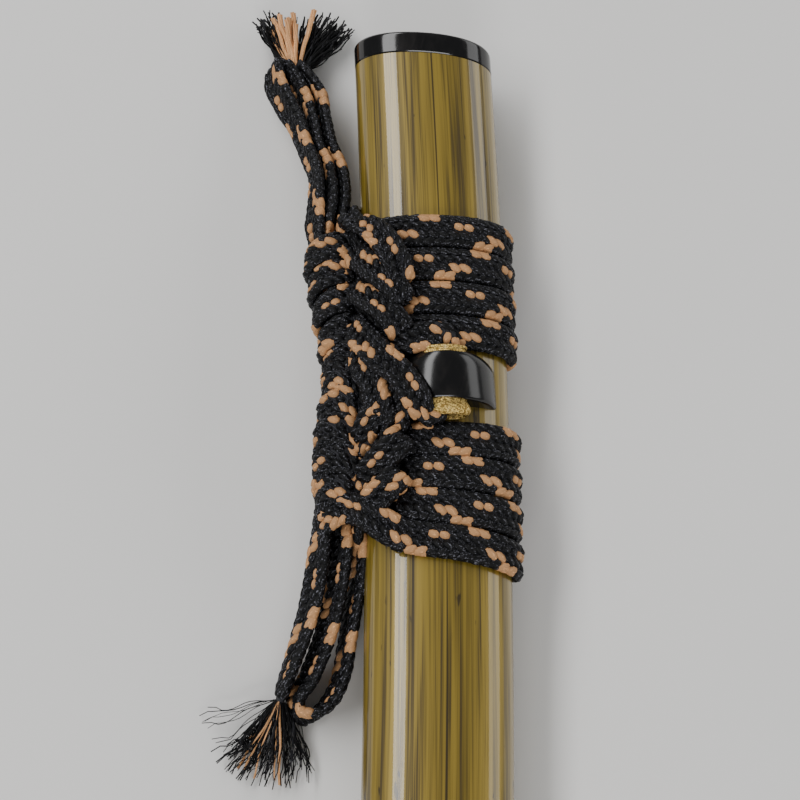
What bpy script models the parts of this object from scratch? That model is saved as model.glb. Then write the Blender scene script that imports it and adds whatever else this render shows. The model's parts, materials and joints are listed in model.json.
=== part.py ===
"""Lacquered sword scabbard with a horn mouth ring, a cord knob and its tied flat cord.

The scabbard lies on its back face: its length runs along Y with the mouth towards +Y,
the cord knob faces up (+Z), the convex edge side is +X and the hollow spine side -X.
All lengths are in metres. A station is a distance from the mouth's end face.
"""
import math

import bmesh
import bpy
from mathutils import Matrix, Vector

# ---- driving dimensions -------------------------------------------------------------
GAP = 0.0003                # clearance that touching pieces keep

LENGTH = 0.720              # mouth face to tip face
MOUTH_WIDTH = 0.0400
TIP_WIDTH = 0.0360
MOUTH_THICKNESS = 0.0245
TIP_THICKNESS = 0.0220
CURVE_RADIUS = 3.0          # of the lengthwise curve
SQUARENESS = 2.15           # exponent of the oval section, 2 is an ellipse

RING_LENGTH = 0.0070        # horn mouth ring
RING_WALL = 0.0022
RING_LIP = 0.0020
RIM_ROUND = 0.0014
SHOULDER_SLOPE = 0.0003     # the wooden shoulders are undercut by this much
CAP_LENGTH = 0.0140         # horn end cap
CAP_WALL = 0.0024
CAP_FLOOR = 0.0050
CAP_ROUND = 0.0020

SLOT_WIDTH = MOUTH_WIDTH - 0.0090   # blade slot at the mouth
SLOT_THICKNESS = 0.0088
SEAT_LENGTH = 0.0300        # depth of the wide collar seat
SEAT_STEP = 0.0005          # slope from the seat down to the channel
CHANNEL_WIDTH = SLOT_WIDTH - 0.0035
CHANNEL_THICKNESS = 0.0068
CHANNEL_END_WIDTH = TIP_WIDTH - 0.0140
CHANNEL_END_THICKNESS = 0.0050
CHANNEL_LENGTH = LENGTH - 0.0350
CHANNEL_SQUARENESS = 2.6

KNOB_STATION = 0.1066
KNOB_SIDE = 0.0020          # towards the edge side
KNOB_WIDTH = 0.0275
KNOB_LENGTH = 0.0142
KNOB_HEIGHT = 0.0074        # crest above the lacquer
KNOB_FOOT_DROP = 0.0066     # how far the dome's foot wraps below the front face
KNOB_BEVEL = 0.0012
KNOB_SQUARENESS = 2.2
KNOB_SKIRT = 0.0040         # straight sides below the dome, before the seat is cut

EYELET_BORE_WIDTH = 0.0104
EYELET_BORE_HEIGHT = 0.0040
EYELET_WALL = 0.00055
EYELET_LIP = 0.0007
EYELET_LIP_LENGTH = 0.0008
EYELET_LENGTH = 0.0066
EYELET_LIFT = 0.0035        # bore's centre above the lacquer
UPPER_EYELET_PROUD = 0.0012
LOWER_EYELET_PROUD = 0.0034

CORD_WIDTH = 0.0096
CORD_THICKNESS = 0.0026
TURN_COUNT = 4
TURN_PITCH = CORD_WIDTH + GAP
KNOB_TO_UPPER_TURNS = 0.0024
KNOB_TO_LOWER_TURNS = 0.0045
UPPER_TURNS_START = KNOB_STATION - KNOB_LENGTH / 2 - KNOB_TO_UPPER_TURNS - TURN_COUNT * TURN_PITCH
LOWER_TURNS_START = KNOB_STATION + KNOB_LENGTH / 2 + KNOB_TO_LOWER_TURNS

BUNDLE_WIDTH = 0.0062       # folded tail inside its hitches
BUNDLE_HEIGHT = 0.0100
BUNDLE_LIFT = 0.0020        # above the scabbard's centre
HITCH_SQUARENESS = 3.2
UPPER_HITCHES = (0.0620, 0.1030)
LOWER_HITCHES = (0.1050, 0.1440)
PAD_THICKNESS = 0.0062      # crossing strands over the spine side shoulder
PAD_START = math.radians(113)
PAD_END = math.radians(149)
PAD_START_BESIDE_KNOB = math.radians(132)

UPPER_TAIL = [               # station, side of the bundle's centre, height above it
    (0.0990, 0.0, 0.0),
    (0.0800, 0.0, 0.0),
    (0.0640, 0.0, 0.0),
    (0.0560, 0.0, 0.0),
    (0.0400, -0.0034, -0.0030),
    (0.0240, -0.0072, -0.0058),
    (0.0050, -0.0118, -0.0078),
]
LOWER_TAIL = [
    (0.1090, 0.0, 0.0),
    (0.1260, 0.0, 0.0),
    (0.1420, 0.0, 0.0),
    (0.1490, 0.0, 0.0),
    (0.1640, 0.0006, -0.0032),
    (0.1800, -0.0022, -0.0064),
    (0.1950, -0.0056, -0.0080),
]
UPPER_LEAD = [               # station, side, height above the knob's bore
    (0.0978, 0.0026, 0.0004),
    (0.0964, 0.0024, 0.0013),
    (0.0949, 0.0012, 0.0026),
    (0.0937, -0.0012, 0.0036),
    (0.0938, -0.0046, 0.0030),
]
LOWER_LEAD = [
    (0.1176, 0.0012, 0.0004),
    (0.1190, 0.0011, 0.0019),
    (0.1200, -0.0004, 0.0038),
    (0.1182, -0.0042, 0.0058),
    (0.1140, -0.0068, 0.0066),
    (0.1080, -0.0112, 0.0062),
    (0.1034, -0.0144, 0.0056),
]
LEAD_WIDTH = 0.0056
LEAD_ENTRY = 0.0006
BORE_FILL = (0.82, 0.90)    # shares of the bore's width and the cord's thickness it takes up
CORD_CHAMFER = 0.28         # share of the cord's thickness
TASSEL_LENGTH = 0.0200
TASSEL_ROOT = 0.0042
TASSEL_SPREAD = 0.0250
TASSEL_DEPTH = 0.0080
TASSEL_FLATNESS = 1.4

AROUND = 40                 # points round a whole section
STATIONS = 20               # sections along the scabbard
KNOB_AROUND = 20            # faces over the knob's dome
BORE_AROUND = 28            # points round the eyelets and their hole
OVERSHOOT = 0.0020          # that cutters reach past a face


# ---- the scabbard's shape -----------------------------------------------------------
def blend(start, end, share):
    return start + (end - start) * share


def body_width(station):
    return blend(MOUTH_WIDTH, TIP_WIDTH, station / LENGTH)


def body_thickness(station):
    return blend(MOUTH_THICKNESS, TIP_THICKNESS, station / LENGTH)


def centre(station):
    """Centre of the section, which rises from the tip to clear the cord under the mouth end."""
    bow = station * (LENGTH - station) / (2 * CURVE_RADIUS)
    cord_end = LOWER_TURNS_START + TURN_COUNT * TURN_PITCH
    rise_at_mouth = (CORD_THICKNESS + GAP) * LENGTH / (LENGTH - cord_end)
    height = blend(MOUTH_THICKNESS / 2 + rise_at_mouth, TIP_THICKNESS / 2, station / LENGTH)
    return Vector((bow, -station, height))


def signed_power(value, power):
    return math.copysign(abs(value) ** power, value)


def oval(half_width, half_height, angle, squareness=SQUARENESS):
    """Point of an oval outline and its outward normal, both in the XZ plane."""
    x = half_width * signed_power(math.cos(angle), 2 / squareness)
    z = half_height * signed_power(math.sin(angle), 2 / squareness)
    slope_x = signed_power(x / half_width, squareness - 1) / half_width
    slope_z = signed_power(z / half_height, squareness - 1) / half_height
    normal = Vector((slope_x, 0, slope_z)).normalized()
    return Vector((x, 0, z)), normal


def body_point(station, angle, offset=0.0):
    """Point at an offset outside the lacquer, and the outward normal there."""
    point, normal = oval(body_width(station) / 2, body_thickness(station) / 2, angle)
    return centre(station) + point + normal * offset, normal


def body_ring(station, offset=0.0, count=AROUND):
    return [body_point(station, math.tau * i / count, offset)[0] for i in range(count)]


def slot_size(station):
    if station <= SEAT_LENGTH:
        return SLOT_WIDTH, SLOT_THICKNESS
    share = (station - SEAT_LENGTH) / (CHANNEL_LENGTH - SEAT_LENGTH)
    return (blend(CHANNEL_WIDTH, CHANNEL_END_WIDTH, share),
            blend(CHANNEL_THICKNESS, CHANNEL_END_THICKNESS, share))


# ---- mesh helpers -------------------------------------------------------------------
def new_object(name, bm, collection, smooth_angle=35):
    bmesh.ops.recalc_face_normals(bm, faces=bm.faces)
    mesh = bpy.data.meshes.new(name)
    bm.to_mesh(mesh)
    bm.free()
    mesh.shade_smooth()
    mesh.set_sharp_from_angle(angle=math.radians(smooth_angle))
    part = bpy.data.objects.new(name, mesh)
    collection.objects.link(part)
    return part


def loft(name, rings, collection, cyclic=False):
    """Skin over equal rings of points, capped at both ends unless the rings form a loop."""
    bm = bmesh.new()
    rows = [[bm.verts.new(point) for point in ring] for ring in rings]
    pairs = list(zip(rows, rows[1:]))
    if cyclic:
        pairs.append((rows[-1], rows[0]))
    for first, second in pairs:
        for i in range(len(first)):
            j = (i + 1) % len(first)
            bm.faces.new((first[i], first[j], second[j], second[i]))
    if not cyclic:
        bm.faces.new(rows[0])
        bm.faces.new(rows[-1])
    return new_object(name, bm, collection)


def rounded_bar(width, thickness):
    """Eight-sided section of a flat cord: offsets along its width and its thickness."""
    chamfer = thickness * CORD_CHAMFER
    a = width / 2
    b = thickness / 2
    return [(a, b - chamfer), (a - chamfer, b), (chamfer - a, b), (-a, b - chamfer),
            (-a, chamfer - b), (chamfer - a, -b), (a - chamfer, -b), (a, chamfer - b)]


def sweep(name, path, width, thickness, collection, cyclic=False):
    """Flat bar along (point, face normal) pairs."""
    rings = []
    count = len(path)
    for i, (point, normal) in enumerate(path):
        before = path[(i - 1) % count if cyclic else max(i - 1, 0)][0]
        after = path[(i + 1) % count if cyclic else min(i + 1, count - 1)][0]
        tangent = (after - before).normalized()
        across = tangent.cross(normal).normalized()
        face = across.cross(tangent)
        rings.append([point + across * a + face * b for a, b in rounded_bar(width, thickness)])
    return loft(name, rings, collection, cyclic)


def smooth_path(points, steps):
    """Catmull-Rom curve through the points."""
    ends = [2 * points[0] - points[1]] + points + [2 * points[-1] - points[-2]]
    curve = []
    for p0, p1, p2, p3 in zip(ends, ends[1:], ends[2:], ends[3:]):
        for step in range(steps):
            t = step / steps
            curve.append(0.5 * (2 * p1 + (p2 - p0) * t + (2 * p0 - 5 * p1 + 4 * p2 - p3) * t ** 2
                                + (3 * p1 - p0 - 3 * p2 + p3) * t ** 3))
    curve.append(points[-1])
    return curve


def cut(part, cutter):
    modifier = part.modifiers.new("cut_" + cutter.name, "BOOLEAN")
    modifier.operation = "DIFFERENCE"
    modifier.solver = "EXACT"
    modifier.object = cutter
    cutter.hide_render = True
    cutter.display_type = "WIRE"


# ---- materials ----------------------------------------------------------------------
def material(name, color, roughness, metallic=0.0):
    made = bpy.data.materials.new(name)
    made.use_nodes = True
    shader = made.node_tree.nodes["Principled BSDF"]
    shader.inputs["Base Color"].default_value = (*color, 1.0)
    shader.inputs["Roughness"].default_value = roughness
    shader.inputs["Metallic"].default_value = metallic
    return made


def give(part, finish):
    part.data.materials.clear()
    part.data.materials.append(finish)


# ---- scabbard -----------------------------------------------------------------------
def half_ring(station, inset, side):
    """D-shaped outline of one wooden half; side is 1 for the front and -1 for the back."""
    half_width = body_width(station) / 2 - inset
    half_height = body_thickness(station) / 2 - inset - GAP / 2
    ring = []
    for i in range(AROUND // 2 + 1):
        point, _ = oval(half_width, half_height, math.pi * i / (AROUND // 2))
        ring.append(centre(station) + Vector((point.x, 0, side * (abs(point.z) + GAP / 2))))
    return ring


def wooden_half(name, side, collection):
    shoulder_front = RING_LENGTH + GAP
    shoulder_back = LENGTH - CAP_LENGTH - GAP
    stops = [(RING_LIP + GAP, RING_WALL + GAP), (shoulder_front + SHOULDER_SLOPE, RING_WALL + GAP)]
    for i in range(STATIONS):
        stops.append((blend(shoulder_front, shoulder_back, i / (STATIONS - 1)), 0.0))
    stops.append((shoulder_back - SHOULDER_SLOPE, CAP_WALL + GAP))
    stops.append((LENGTH - CAP_FLOOR - GAP, CAP_WALL + GAP))
    return loft(name, [half_ring(station, inset, side) for station, inset in stops], collection)


def channel_cutter(collection):
    """Space for the blade and its collar, open at the mouth."""
    stops = [-OVERSHOOT, SEAT_LENGTH, SEAT_LENGTH + SEAT_STEP]
    stops += [blend(SEAT_LENGTH, CHANNEL_LENGTH, i / 12) for i in range(1, 13)]
    rings = []
    for station in stops:
        width, thickness = slot_size(station)
        rings.append([centre(station) + oval(width / 2, thickness / 2, math.tau * i / 20,
                                             CHANNEL_SQUARENESS)[0] for i in range(20)])
    return loft("channel_cutter", rings, collection)


def rounded_end(face, inner, rounding):
    """Stations and insets of an outer skin whose end at the face is rounded."""
    direction = 1 if inner > face else -1
    stops = [(inner, 0.0)]
    for i in range(5):
        angle = math.pi / 2 * i / 4
        stops.append((face + direction * rounding * (1 - math.sin(angle)),
                      rounding * (1 - math.cos(angle))))
    return stops


def mouth_ring(collection, cutters, channel):
    stops = rounded_end(0.0, RING_LENGTH, RIM_ROUND)
    ring = loft("horn_mouth_ring", [body_ring(s, -inset) for s, inset in stops], collection)
    pocket = loft("ring_pocket_cutter",
                  [body_ring(s, -RING_WALL) for s in (RING_LIP, RING_LENGTH + OVERSHOOT)], cutters)
    cut(ring, pocket)
    cut(ring, channel)
    return ring


def end_cap(collection, cutters):
    stops = rounded_end(LENGTH, LENGTH - CAP_LENGTH, CAP_ROUND)
    cap = loft("horn_end_cap", [body_ring(s, -inset) for s, inset in stops], collection)
    pocket_stops = (LENGTH - CAP_FLOOR, LENGTH - CAP_LENGTH - OVERSHOOT)
    pocket = loft("cap_pocket_cutter", [body_ring(s, -CAP_WALL) for s in pocket_stops], cutters)
    cut(cap, pocket)
    return cap


# ---- cord knob ----------------------------------------------------------------------
def knob_surface():
    """Point of the lacquer's front face under the knob's middle."""
    half_width = body_width(KNOB_STATION) / 2
    half_height = body_thickness(KNOB_STATION) / 2
    share = 1 - abs(KNOB_SIDE / half_width) ** SQUARENESS
    height = half_height * share ** (1 / SQUARENESS)
    return centre(KNOB_STATION) + Vector((KNOB_SIDE, 0, height))


def bore_centre():
    return knob_surface() + Vector((0, 0, EYELET_LIFT))


def oval_prism(name, middle, half_width, half_height, half_length, collection):
    """Oval bar along Y."""
    bm = bmesh.new()
    bmesh.ops.create_cone(bm, cap_ends=True, segments=BORE_AROUND, radius1=1, radius2=1, depth=2)
    turn = Matrix.Rotation(math.pi / 2, 4, "X")
    size = Matrix.Diagonal((half_width, half_length, half_height, 1))
    bmesh.ops.transform(bm, matrix=Matrix.Translation(middle) @ size @ turn, verts=bm.verts)
    return new_object(name, bm, collection)


def cord_knob(collection, cutters):
    """Domed horn knob that sits on the lacquer, bored for the eyelets."""
    crest = knob_surface() + Vector((0, 0, KNOB_HEIGHT))
    foot = crest.z - KNOB_HEIGHT - KNOB_FOOT_DROP
    outline = []
    for i in range(KNOB_AROUND + 1):
        angle = math.pi * i / KNOB_AROUND
        point, _ = oval(KNOB_WIDTH / 2, crest.z - foot, angle, KNOB_SQUARENESS)
        outline.append(Vector((crest.x + point.x, 0, foot + abs(point.z))))
    below = Vector((0, 0, KNOB_SKIRT))
    outline.append(outline[-1] - below)
    outline.append(outline[0] - below)
    ends = [crest.y + KNOB_LENGTH / 2, crest.y - KNOB_LENGTH / 2]
    knob = loft("cord_knob", [[Vector((p.x, y, p.z)) for p in outline] for y in ends], collection)
    bevel = knob.modifiers.new("soft_ends", "BEVEL")
    bevel.width = KNOB_BEVEL
    bevel.segments = 3
    bevel.limit_method = "ANGLE"
    bevel.angle_limit = math.radians(60)
    around_knob = (KNOB_STATION - KNOB_LENGTH, KNOB_STATION, KNOB_STATION + KNOB_LENGTH)
    seat = loft("knob_seat_cutter", [body_ring(s, GAP, 64) for s in around_knob], cutters)
    cut(knob, seat)
    hole = oval_prism("knob_hole_cutter", bore_centre(),
                      EYELET_BORE_WIDTH / 2 + EYELET_WALL + GAP,
                      EYELET_BORE_HEIGHT / 2 + EYELET_WALL + GAP, KNOB_LENGTH, cutters)
    cut(knob, hole)
    return knob


def eyelet(name, direction, proud, collection):
    """Oval tube with a flared lip; direction is 1 towards the mouth and -1 towards the tip."""
    bore = EYELET_BORE_HEIGHT / 2
    outer = bore + EYELET_WALL
    inner_end = proud - EYELET_LENGTH
    lip_start = proud - EYELET_LIP_LENGTH
    lip_middle = proud - EYELET_LIP_LENGTH / 2
    outline = [(bore, inner_end), (outer, inner_end), (outer, lip_start),
               (outer + EYELET_LIP, lip_middle), (outer + EYELET_LIP * 0.7, proud),
               (bore + EYELET_WALL / 2, proud), (bore, lip_middle)]
    stretch = (EYELET_BORE_WIDTH - EYELET_BORE_HEIGHT) / 2
    face = bore_centre() + Vector((0, direction * KNOB_LENGTH / 2, 0))
    rings = []
    for i in range(BORE_AROUND):
        angle = math.tau * i / BORE_AROUND
        side = Vector((math.cos(angle), 0, math.sin(angle)))
        shift = Vector((stretch * math.cos(angle), 0, 0))
        rings.append([face + shift + side * radius + Vector((0, direction * along, 0))
                      for radius, along in outline])
    return loft(name, rings, collection, cyclic=True)


# ---- cord ---------------------------------------------------------------------------
def cord_turn(name, station, collection):
    """One turn of the flat cord, hugging the lacquer."""
    middle = GAP + CORD_THICKNESS / 2
    bar = rounded_bar(CORD_WIDTH, CORD_THICKNESS)
    rings = [[body_point(station + a, math.tau * i / AROUND, middle + b)[0] for a, b in bar]
             for i in range(AROUND)]
    return loft(name, rings, collection, cyclic=True)


def bundle_centre(station):
    """Middle of the folded tail, beside the turns on the spine side."""
    reach = (body_width(station) / 2 + CORD_THICKNESS + 2 * GAP
             + CORD_THICKNESS + GAP + BUNDLE_WIDTH / 2)
    return centre(station) + Vector((-reach, 0, BUNDLE_LIFT))


def hitch_sleeve(name, span, collection):
    """Hitches of cord round the folded tail, as one sleeve."""
    half_width = BUNDLE_WIDTH / 2 + GAP + CORD_THICKNESS / 2
    half_height = BUNDLE_HEIGHT / 2 + GAP + CORD_THICKNESS / 2
    bar = rounded_bar(1.0, CORD_THICKNESS)
    rings = []
    for i in range(24):
        point, normal = oval(half_width, half_height, math.tau * i / 24, HITCH_SQUARENESS)
        rings.append([bundle_centre(blend(*span, 0.5 + a)) + point + normal * b for a, b in bar])
    return loft(name, rings, collection, cyclic=True)


def crossing_pads(collection):
    """Crossing strands over the turns, in three stretches: before, beside and after the knob."""
    knob_start = KNOB_STATION - KNOB_LENGTH / 2 - GAP
    knob_end = KNOB_STATION + KNOB_LENGTH / 2 + GAP
    spans = (("upper_cord_crossings", UPPER_HITCHES[0], knob_start - GAP, PAD_START),
             ("middle_cord_crossings", knob_start, knob_end, PAD_START_BESIDE_KNOB),
             ("lower_cord_crossings", knob_end + GAP, LOWER_HITCHES[1], PAD_START))
    return [crossing_pad(name, (first, last), angle, collection)
            for name, first, last, angle in spans]


def crossing_pad(name, span, first_angle, collection):
    """Curved slab over a stretch of the shoulder, from the first angle to the furrow."""
    inner = CORD_THICKNESS + 2 * GAP
    rings = []
    for i in range(6):
        station = blend(*span, i / 5)
        angles = [blend(first_angle, PAD_END, j / 6) for j in range(7)]
        low = [body_point(station, angle, inner)[0] for angle in angles]
        high = [body_point(station, angle, inner + PAD_THICKNESS)[0] for angle in angles[::-1]]
        rings.append(low + high)
    return loft(name, rings, collection)


def tail_path(points):
    """Curve through points given beside and above the straight bundle's middle."""
    return smooth_path([bundle_centre(station) + Vector((side, 0, height))
                        for station, side, height in points], 3)


def folded_tail(name, points, collection):
    """Folded runs of cord as one bar of their outer size."""
    up = Vector((0, 0, 1))
    path = [(point, up) for point in tail_path(points)]
    return sweep(name, path, BUNDLE_WIDTH, BUNDLE_HEIGHT, collection)


def tassel(name, points, collection):
    """Frayed cord end: a flat fan that opens away from the folded tail."""
    path = tail_path(points)
    way = (path[-1] - path[-2]).normalized()
    way.z = 0
    way.normalize()
    across = Vector((way.y, -way.x, 0))
    rings = []
    for i in range(6):
        share = i / 5
        along = way * (GAP + TASSEL_LENGTH * share)
        half_width = blend(TASSEL_ROOT, TASSEL_SPREAD / 2, math.sqrt(share))
        half_height = blend(TASSEL_ROOT, TASSEL_DEPTH / 2, share) / TASSEL_FLATNESS
        ring = []
        for j in range(10):
            angle = math.tau * j / 10
            ring.append(path[-1] + along + across * half_width * math.cos(angle)
                        + Vector((0, 0, half_height * math.sin(angle))))
        rings.append(ring)
    return loft(name, rings, collection)


def knob_cord(collection):
    """Straight stretch of cord through the knob and both eyelets."""
    middle = bore_centre()
    front = Vector((0, KNOB_LENGTH / 2 + UPPER_EYELET_PROUD - LEAD_ENTRY, 0))
    back = Vector((0, LEAD_ENTRY - KNOB_LENGTH / 2 - LOWER_EYELET_PROUD, 0))
    up = Vector((0, 0, 1))
    return sweep("cord_through_knob", [(middle + front, up), (middle + back, up)],
                 EYELET_BORE_WIDTH * BORE_FILL[0], CORD_THICKNESS * BORE_FILL[1], collection)


def lead(name, points, collection):
    """Short stretch of cord from the crossing strands to an eyelet."""
    height = bore_centre().z - centre(KNOB_STATION).z
    path = smooth_path([centre(s) + Vector((x, 0, height + z)) for s, x, z in points], 3)
    faces = []
    for i, point in enumerate(path):
        tangent = (path[min(i + 1, len(path) - 1)] - path[max(i - 1, 0)]).normalized()
        across = tangent.cross(Vector((0, 0, 1)))
        if across.length < 0.2:
            across = Vector((1, 0, 0))
        faces.append((point, across.normalized().cross(tangent)))
    return sweep(name, faces, LEAD_WIDTH, CORD_THICKNESS, collection)


# ---- assembly -----------------------------------------------------------------------
def shift_to_floor(parts):
    """Move that puts the bottom centre of the parts' box at the origin."""
    bpy.context.view_layer.update()
    depsgraph = bpy.context.evaluated_depsgraph_get()
    corners = []
    for part in parts:
        mesh = part.evaluated_get(depsgraph).to_mesh()
        corners += [vertex.co.copy() for vertex in mesh.vertices]
    low = [min(corner[axis] for corner in corners) for axis in range(3)]
    high = [max(corner[axis] for corner in corners) for axis in range(3)]
    return Vector((-(low[0] + high[0]) / 2, -(low[1] + high[1]) / 2, -low[2]))


def main():
    for old in list(bpy.data.objects):
        bpy.data.objects.remove(old)
    scabbard = bpy.data.collections.new("sword_scabbard")
    cutters = bpy.data.collections.new("cutters")
    bpy.context.scene.collection.children.link(scabbard)
    bpy.context.scene.collection.children.link(cutters)

    lacquer = material("olive_gold_lacquer", (0.30, 0.22, 0.07), 0.18)
    horn = material("black_horn", (0.012, 0.012, 0.013), 0.12)
    gilt = material("gilt_metal", (0.72, 0.56, 0.22), 0.35, 1.0)
    braid = material("black_braid", (0.02, 0.02, 0.022), 0.75)
    fray = material("frayed_silk", (0.30, 0.20, 0.13), 0.8)

    channel = channel_cutter(cutters)
    parts = []

    def add(part, finish):
        give(part, finish)
        parts.append(part)

    for name, side in (("front_wooden_half", 1), ("back_wooden_half", -1)):
        half = wooden_half(name, side, scabbard)
        cut(half, channel)
        add(half, lacquer)
    add(mouth_ring(scabbard, cutters, channel), horn)
    add(end_cap(scabbard, cutters), horn)
    add(cord_knob(scabbard, cutters), horn)
    add(eyelet("upper_eyelet", 1, UPPER_EYELET_PROUD, scabbard), gilt)
    add(eyelet("lower_eyelet", -1, LOWER_EYELET_PROUD, scabbard), gilt)
    add(knob_cord(scabbard), braid)

    for group, start in (("upper", UPPER_TURNS_START), ("lower", LOWER_TURNS_START)):
        for number in range(TURN_COUNT):
            station = start + TURN_PITCH * number + CORD_WIDTH / 2
            add(cord_turn(f"{group}_cord_turn_{number + 1}", station, scabbard), braid)
    for group, span in (("upper", UPPER_HITCHES), ("lower", LOWER_HITCHES)):
        add(hitch_sleeve(f"{group}_cord_hitches", span, scabbard), braid)
    for pad in crossing_pads(scabbard):
        add(pad, braid)
    for group, points in (("upper", UPPER_LEAD), ("lower", LOWER_LEAD)):
        add(lead(f"{group}_cord_lead", points, scabbard), braid)
    for group, points in (("upper", UPPER_TAIL), ("lower", LOWER_TAIL)):
        add(folded_tail(f"{group}_cord_tail", points, scabbard), braid)
        add(tassel(f"{group}_tassel", points, scabbard), fray)

    shift = shift_to_floor(parts)
    for part in list(scabbard.objects) + list(cutters.objects):
        part.location = shift


main()
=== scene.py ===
"""Looks of a lacquered sword scabbard with a horn mouth ring, cord knob and tied flat cord.

A station is a distance from the mouth's end face. Sides and heights are measured from the
scabbard's curved middle line and from the floor. Stops of the cord's route are in
millimetres and degrees, everything else is in metres and radians.
"""

import json
import math
import random

import bmesh
import bpy
from bpy.props import FloatProperty, FloatVectorProperty, IntProperty, PointerProperty
from mathutils import Matrix, Quaternion, Vector


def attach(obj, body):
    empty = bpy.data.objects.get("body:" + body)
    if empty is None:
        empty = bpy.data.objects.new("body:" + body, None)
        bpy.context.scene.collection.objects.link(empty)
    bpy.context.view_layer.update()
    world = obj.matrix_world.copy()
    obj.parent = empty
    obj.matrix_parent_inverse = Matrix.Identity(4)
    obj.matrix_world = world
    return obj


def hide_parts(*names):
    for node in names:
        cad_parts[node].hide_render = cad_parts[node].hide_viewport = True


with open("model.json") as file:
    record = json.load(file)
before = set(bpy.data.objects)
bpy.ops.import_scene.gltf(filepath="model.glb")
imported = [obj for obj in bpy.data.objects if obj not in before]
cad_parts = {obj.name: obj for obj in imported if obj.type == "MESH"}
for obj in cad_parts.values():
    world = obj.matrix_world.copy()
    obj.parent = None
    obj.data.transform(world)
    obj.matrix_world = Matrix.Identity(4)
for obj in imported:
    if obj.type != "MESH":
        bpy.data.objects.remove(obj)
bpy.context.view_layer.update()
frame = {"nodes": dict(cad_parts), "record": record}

bl_info = {
    "name": "Scabbard Looks",
    "version": (1, 0, 0),
    "blender": (4, 5, 0),
    "location": "3D View > Sidebar > Scabbard",
    "description": "Builds the lacquered scabbard, its fittings and its tied cord",
    "category": "Object",
}

MM = 0.001
GAP = 0.0003


def mount_position(name):
    for mount in frame["record"]["mounts"]:
        if mount["name"] == name:
            return Vector(mount["pos_m"])
    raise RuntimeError("the record has no mount named " + name)


MOUTH = mount_position("mouth_face")
LENGTH = MOUTH.y - mount_position("tip_face").y
MOUTH_WIDTH, MOUTH_THICKNESS = 0.0400, 0.0245
TIP_WIDTH, TIP_THICKNESS = 0.0360, 0.0220
CURVE_RADIUS = 3.0
SQUARENESS = 2.15           # of the body's section, where 2 is an ellipse
FLAT_SQUARENESS = 2.6       # of the blade channel and the cord's core
RISE_AT_MOUTH = 0.00371     # the cord under the mouth end lifts it off the floor
RING_LENGTH, RING_WALL, RING_LIP, RIM_ROUND = 0.0070, 0.0022, 0.0020, 0.0014
CAP_LENGTH, CAP_WALL, CAP_FLOOR, CAP_ROUND = 0.0140, 0.0024, 0.0050, 0.0020
SLOT_WIDTH, SLOT_THICKNESS, SEAT_LENGTH = 0.0310, 0.0088, 0.0300
CHANNEL_WIDTH, CHANNEL_THICKNESS = 0.0275, 0.0068
CHANNEL_END_WIDTH, CHANNEL_END_THICKNESS, CHANNEL_LENGTH = 0.0220, 0.0050, 0.6850
KNOB_STATION, KNOB_SIDE = 0.1066, 0.0020
KNOB_WIDTH, KNOB_LENGTH, KNOB_HEIGHT, KNOB_FOOT_DROP = 0.0275, 0.0142, 0.0074, 0.0066
KNOB_SWELL = 0.0009         # the dome is higher in its middle than at its ends
KNOB_FLARE = 0.0004         # it is wider towards the tip
KNOB_SKIRT = 0.0040         # depth below the foot, cut away where the knob sits on the lacquer
KNOB_SEAT = 0.00005         # space between the knob and the lacquer
KNOB_ENDS = ((1, 0.0045, 0.0046, 0.0007),     # direction, rounding, narrowing and lowering
             (-1, 0.0011, 0.0011, 0.0011))
BORE_WIDTH, BORE_HEIGHT, BORE_LIFT, EYELET_WALL = 0.0104, 0.0040, 0.0035, 0.00055
CORD_WIDTH, CORD_THICKNESS = 0.0096, 0.0026
CORD_NODES = sorted(name for name in frame["nodes"] if "cord" in name and name != "cord_knob")


# ---- sizes and colours a user would change --------------------------------------------
def length_property(name, description, default):
    return FloatProperty(name=name, description=description, default=default,
                         subtype="DISTANCE", unit="LENGTH")


def colour_property(name, description, default):
    return FloatVectorProperty(name=name, description=description, default=default,
                               subtype="COLOR", min=0, max=1)


class LacquerSettings(bpy.types.PropertyGroup):
    gold: colour_property("Gold", "Lit olive gold of the lacquer", (0.300, 0.206, 0.026))
    olive: colour_property("Olive", "Darker olive between the streaks", (0.130, 0.088, 0.007))
    streak: colour_property("Streak", "Brown of the long streaks", (0.022, 0.013, 0.0025))
    streak_width: length_property("Streak width", "Usual width of a streak", 0.0024)
    streak_length: length_property("Streak length", "Usual length of a streak", 0.120)


class CordSettings(bpy.types.PropertyGroup):
    stitch_pitch: length_property("Stitch pitch", "Distance between stitches of a row", 0.00278)
    stitch_length: length_property("Stitch length", "Long axis of a stitch", 0.0038)
    stitch_width: length_property("Stitch width", "Width of a stitch", 0.0025)
    stitch_height: length_property("Stitch height", "Thickness of a stitch", 0.0019)
    accent_every: IntProperty(name="Accent every", description="Stitches from accent to accent",
                              default=9, min=2)
    seed: IntProperty(name="Seed", description="Seed of the small irregularities", default=4)
    black: colour_property("Black", "Dyed silk of the braid", (0.0034, 0.0034, 0.0040))
    peach: colour_property("Peach", "Accent silk of the braid", (0.86, 0.46, 0.21))


class StageSettings(bpy.types.PropertyGroup):
    floor: colour_property("Floor", "Paint of the floor", (0.80, 0.79, 0.77))
    distance: length_property("Camera distance", "From the camera to its target", 0.4836)
    azimuth: FloatProperty(name="Azimuth", description="Turn of the camera about the vertical",
                           default=math.radians(-4.0155), subtype="ANGLE", unit="ROTATION")
    elevation: FloatProperty(name="Elevation", description="Camera's height above the horizon",
                             default=math.radians(69.907), subtype="ANGLE", unit="ROTATION")
    focal: FloatProperty(name="Focal length", description="Lens in millimetres", default=79.72)


# ---- the scabbard's shape --------------------------------------------------------------
def blend(start, end, share):
    return start + (end - start) * share


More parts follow.
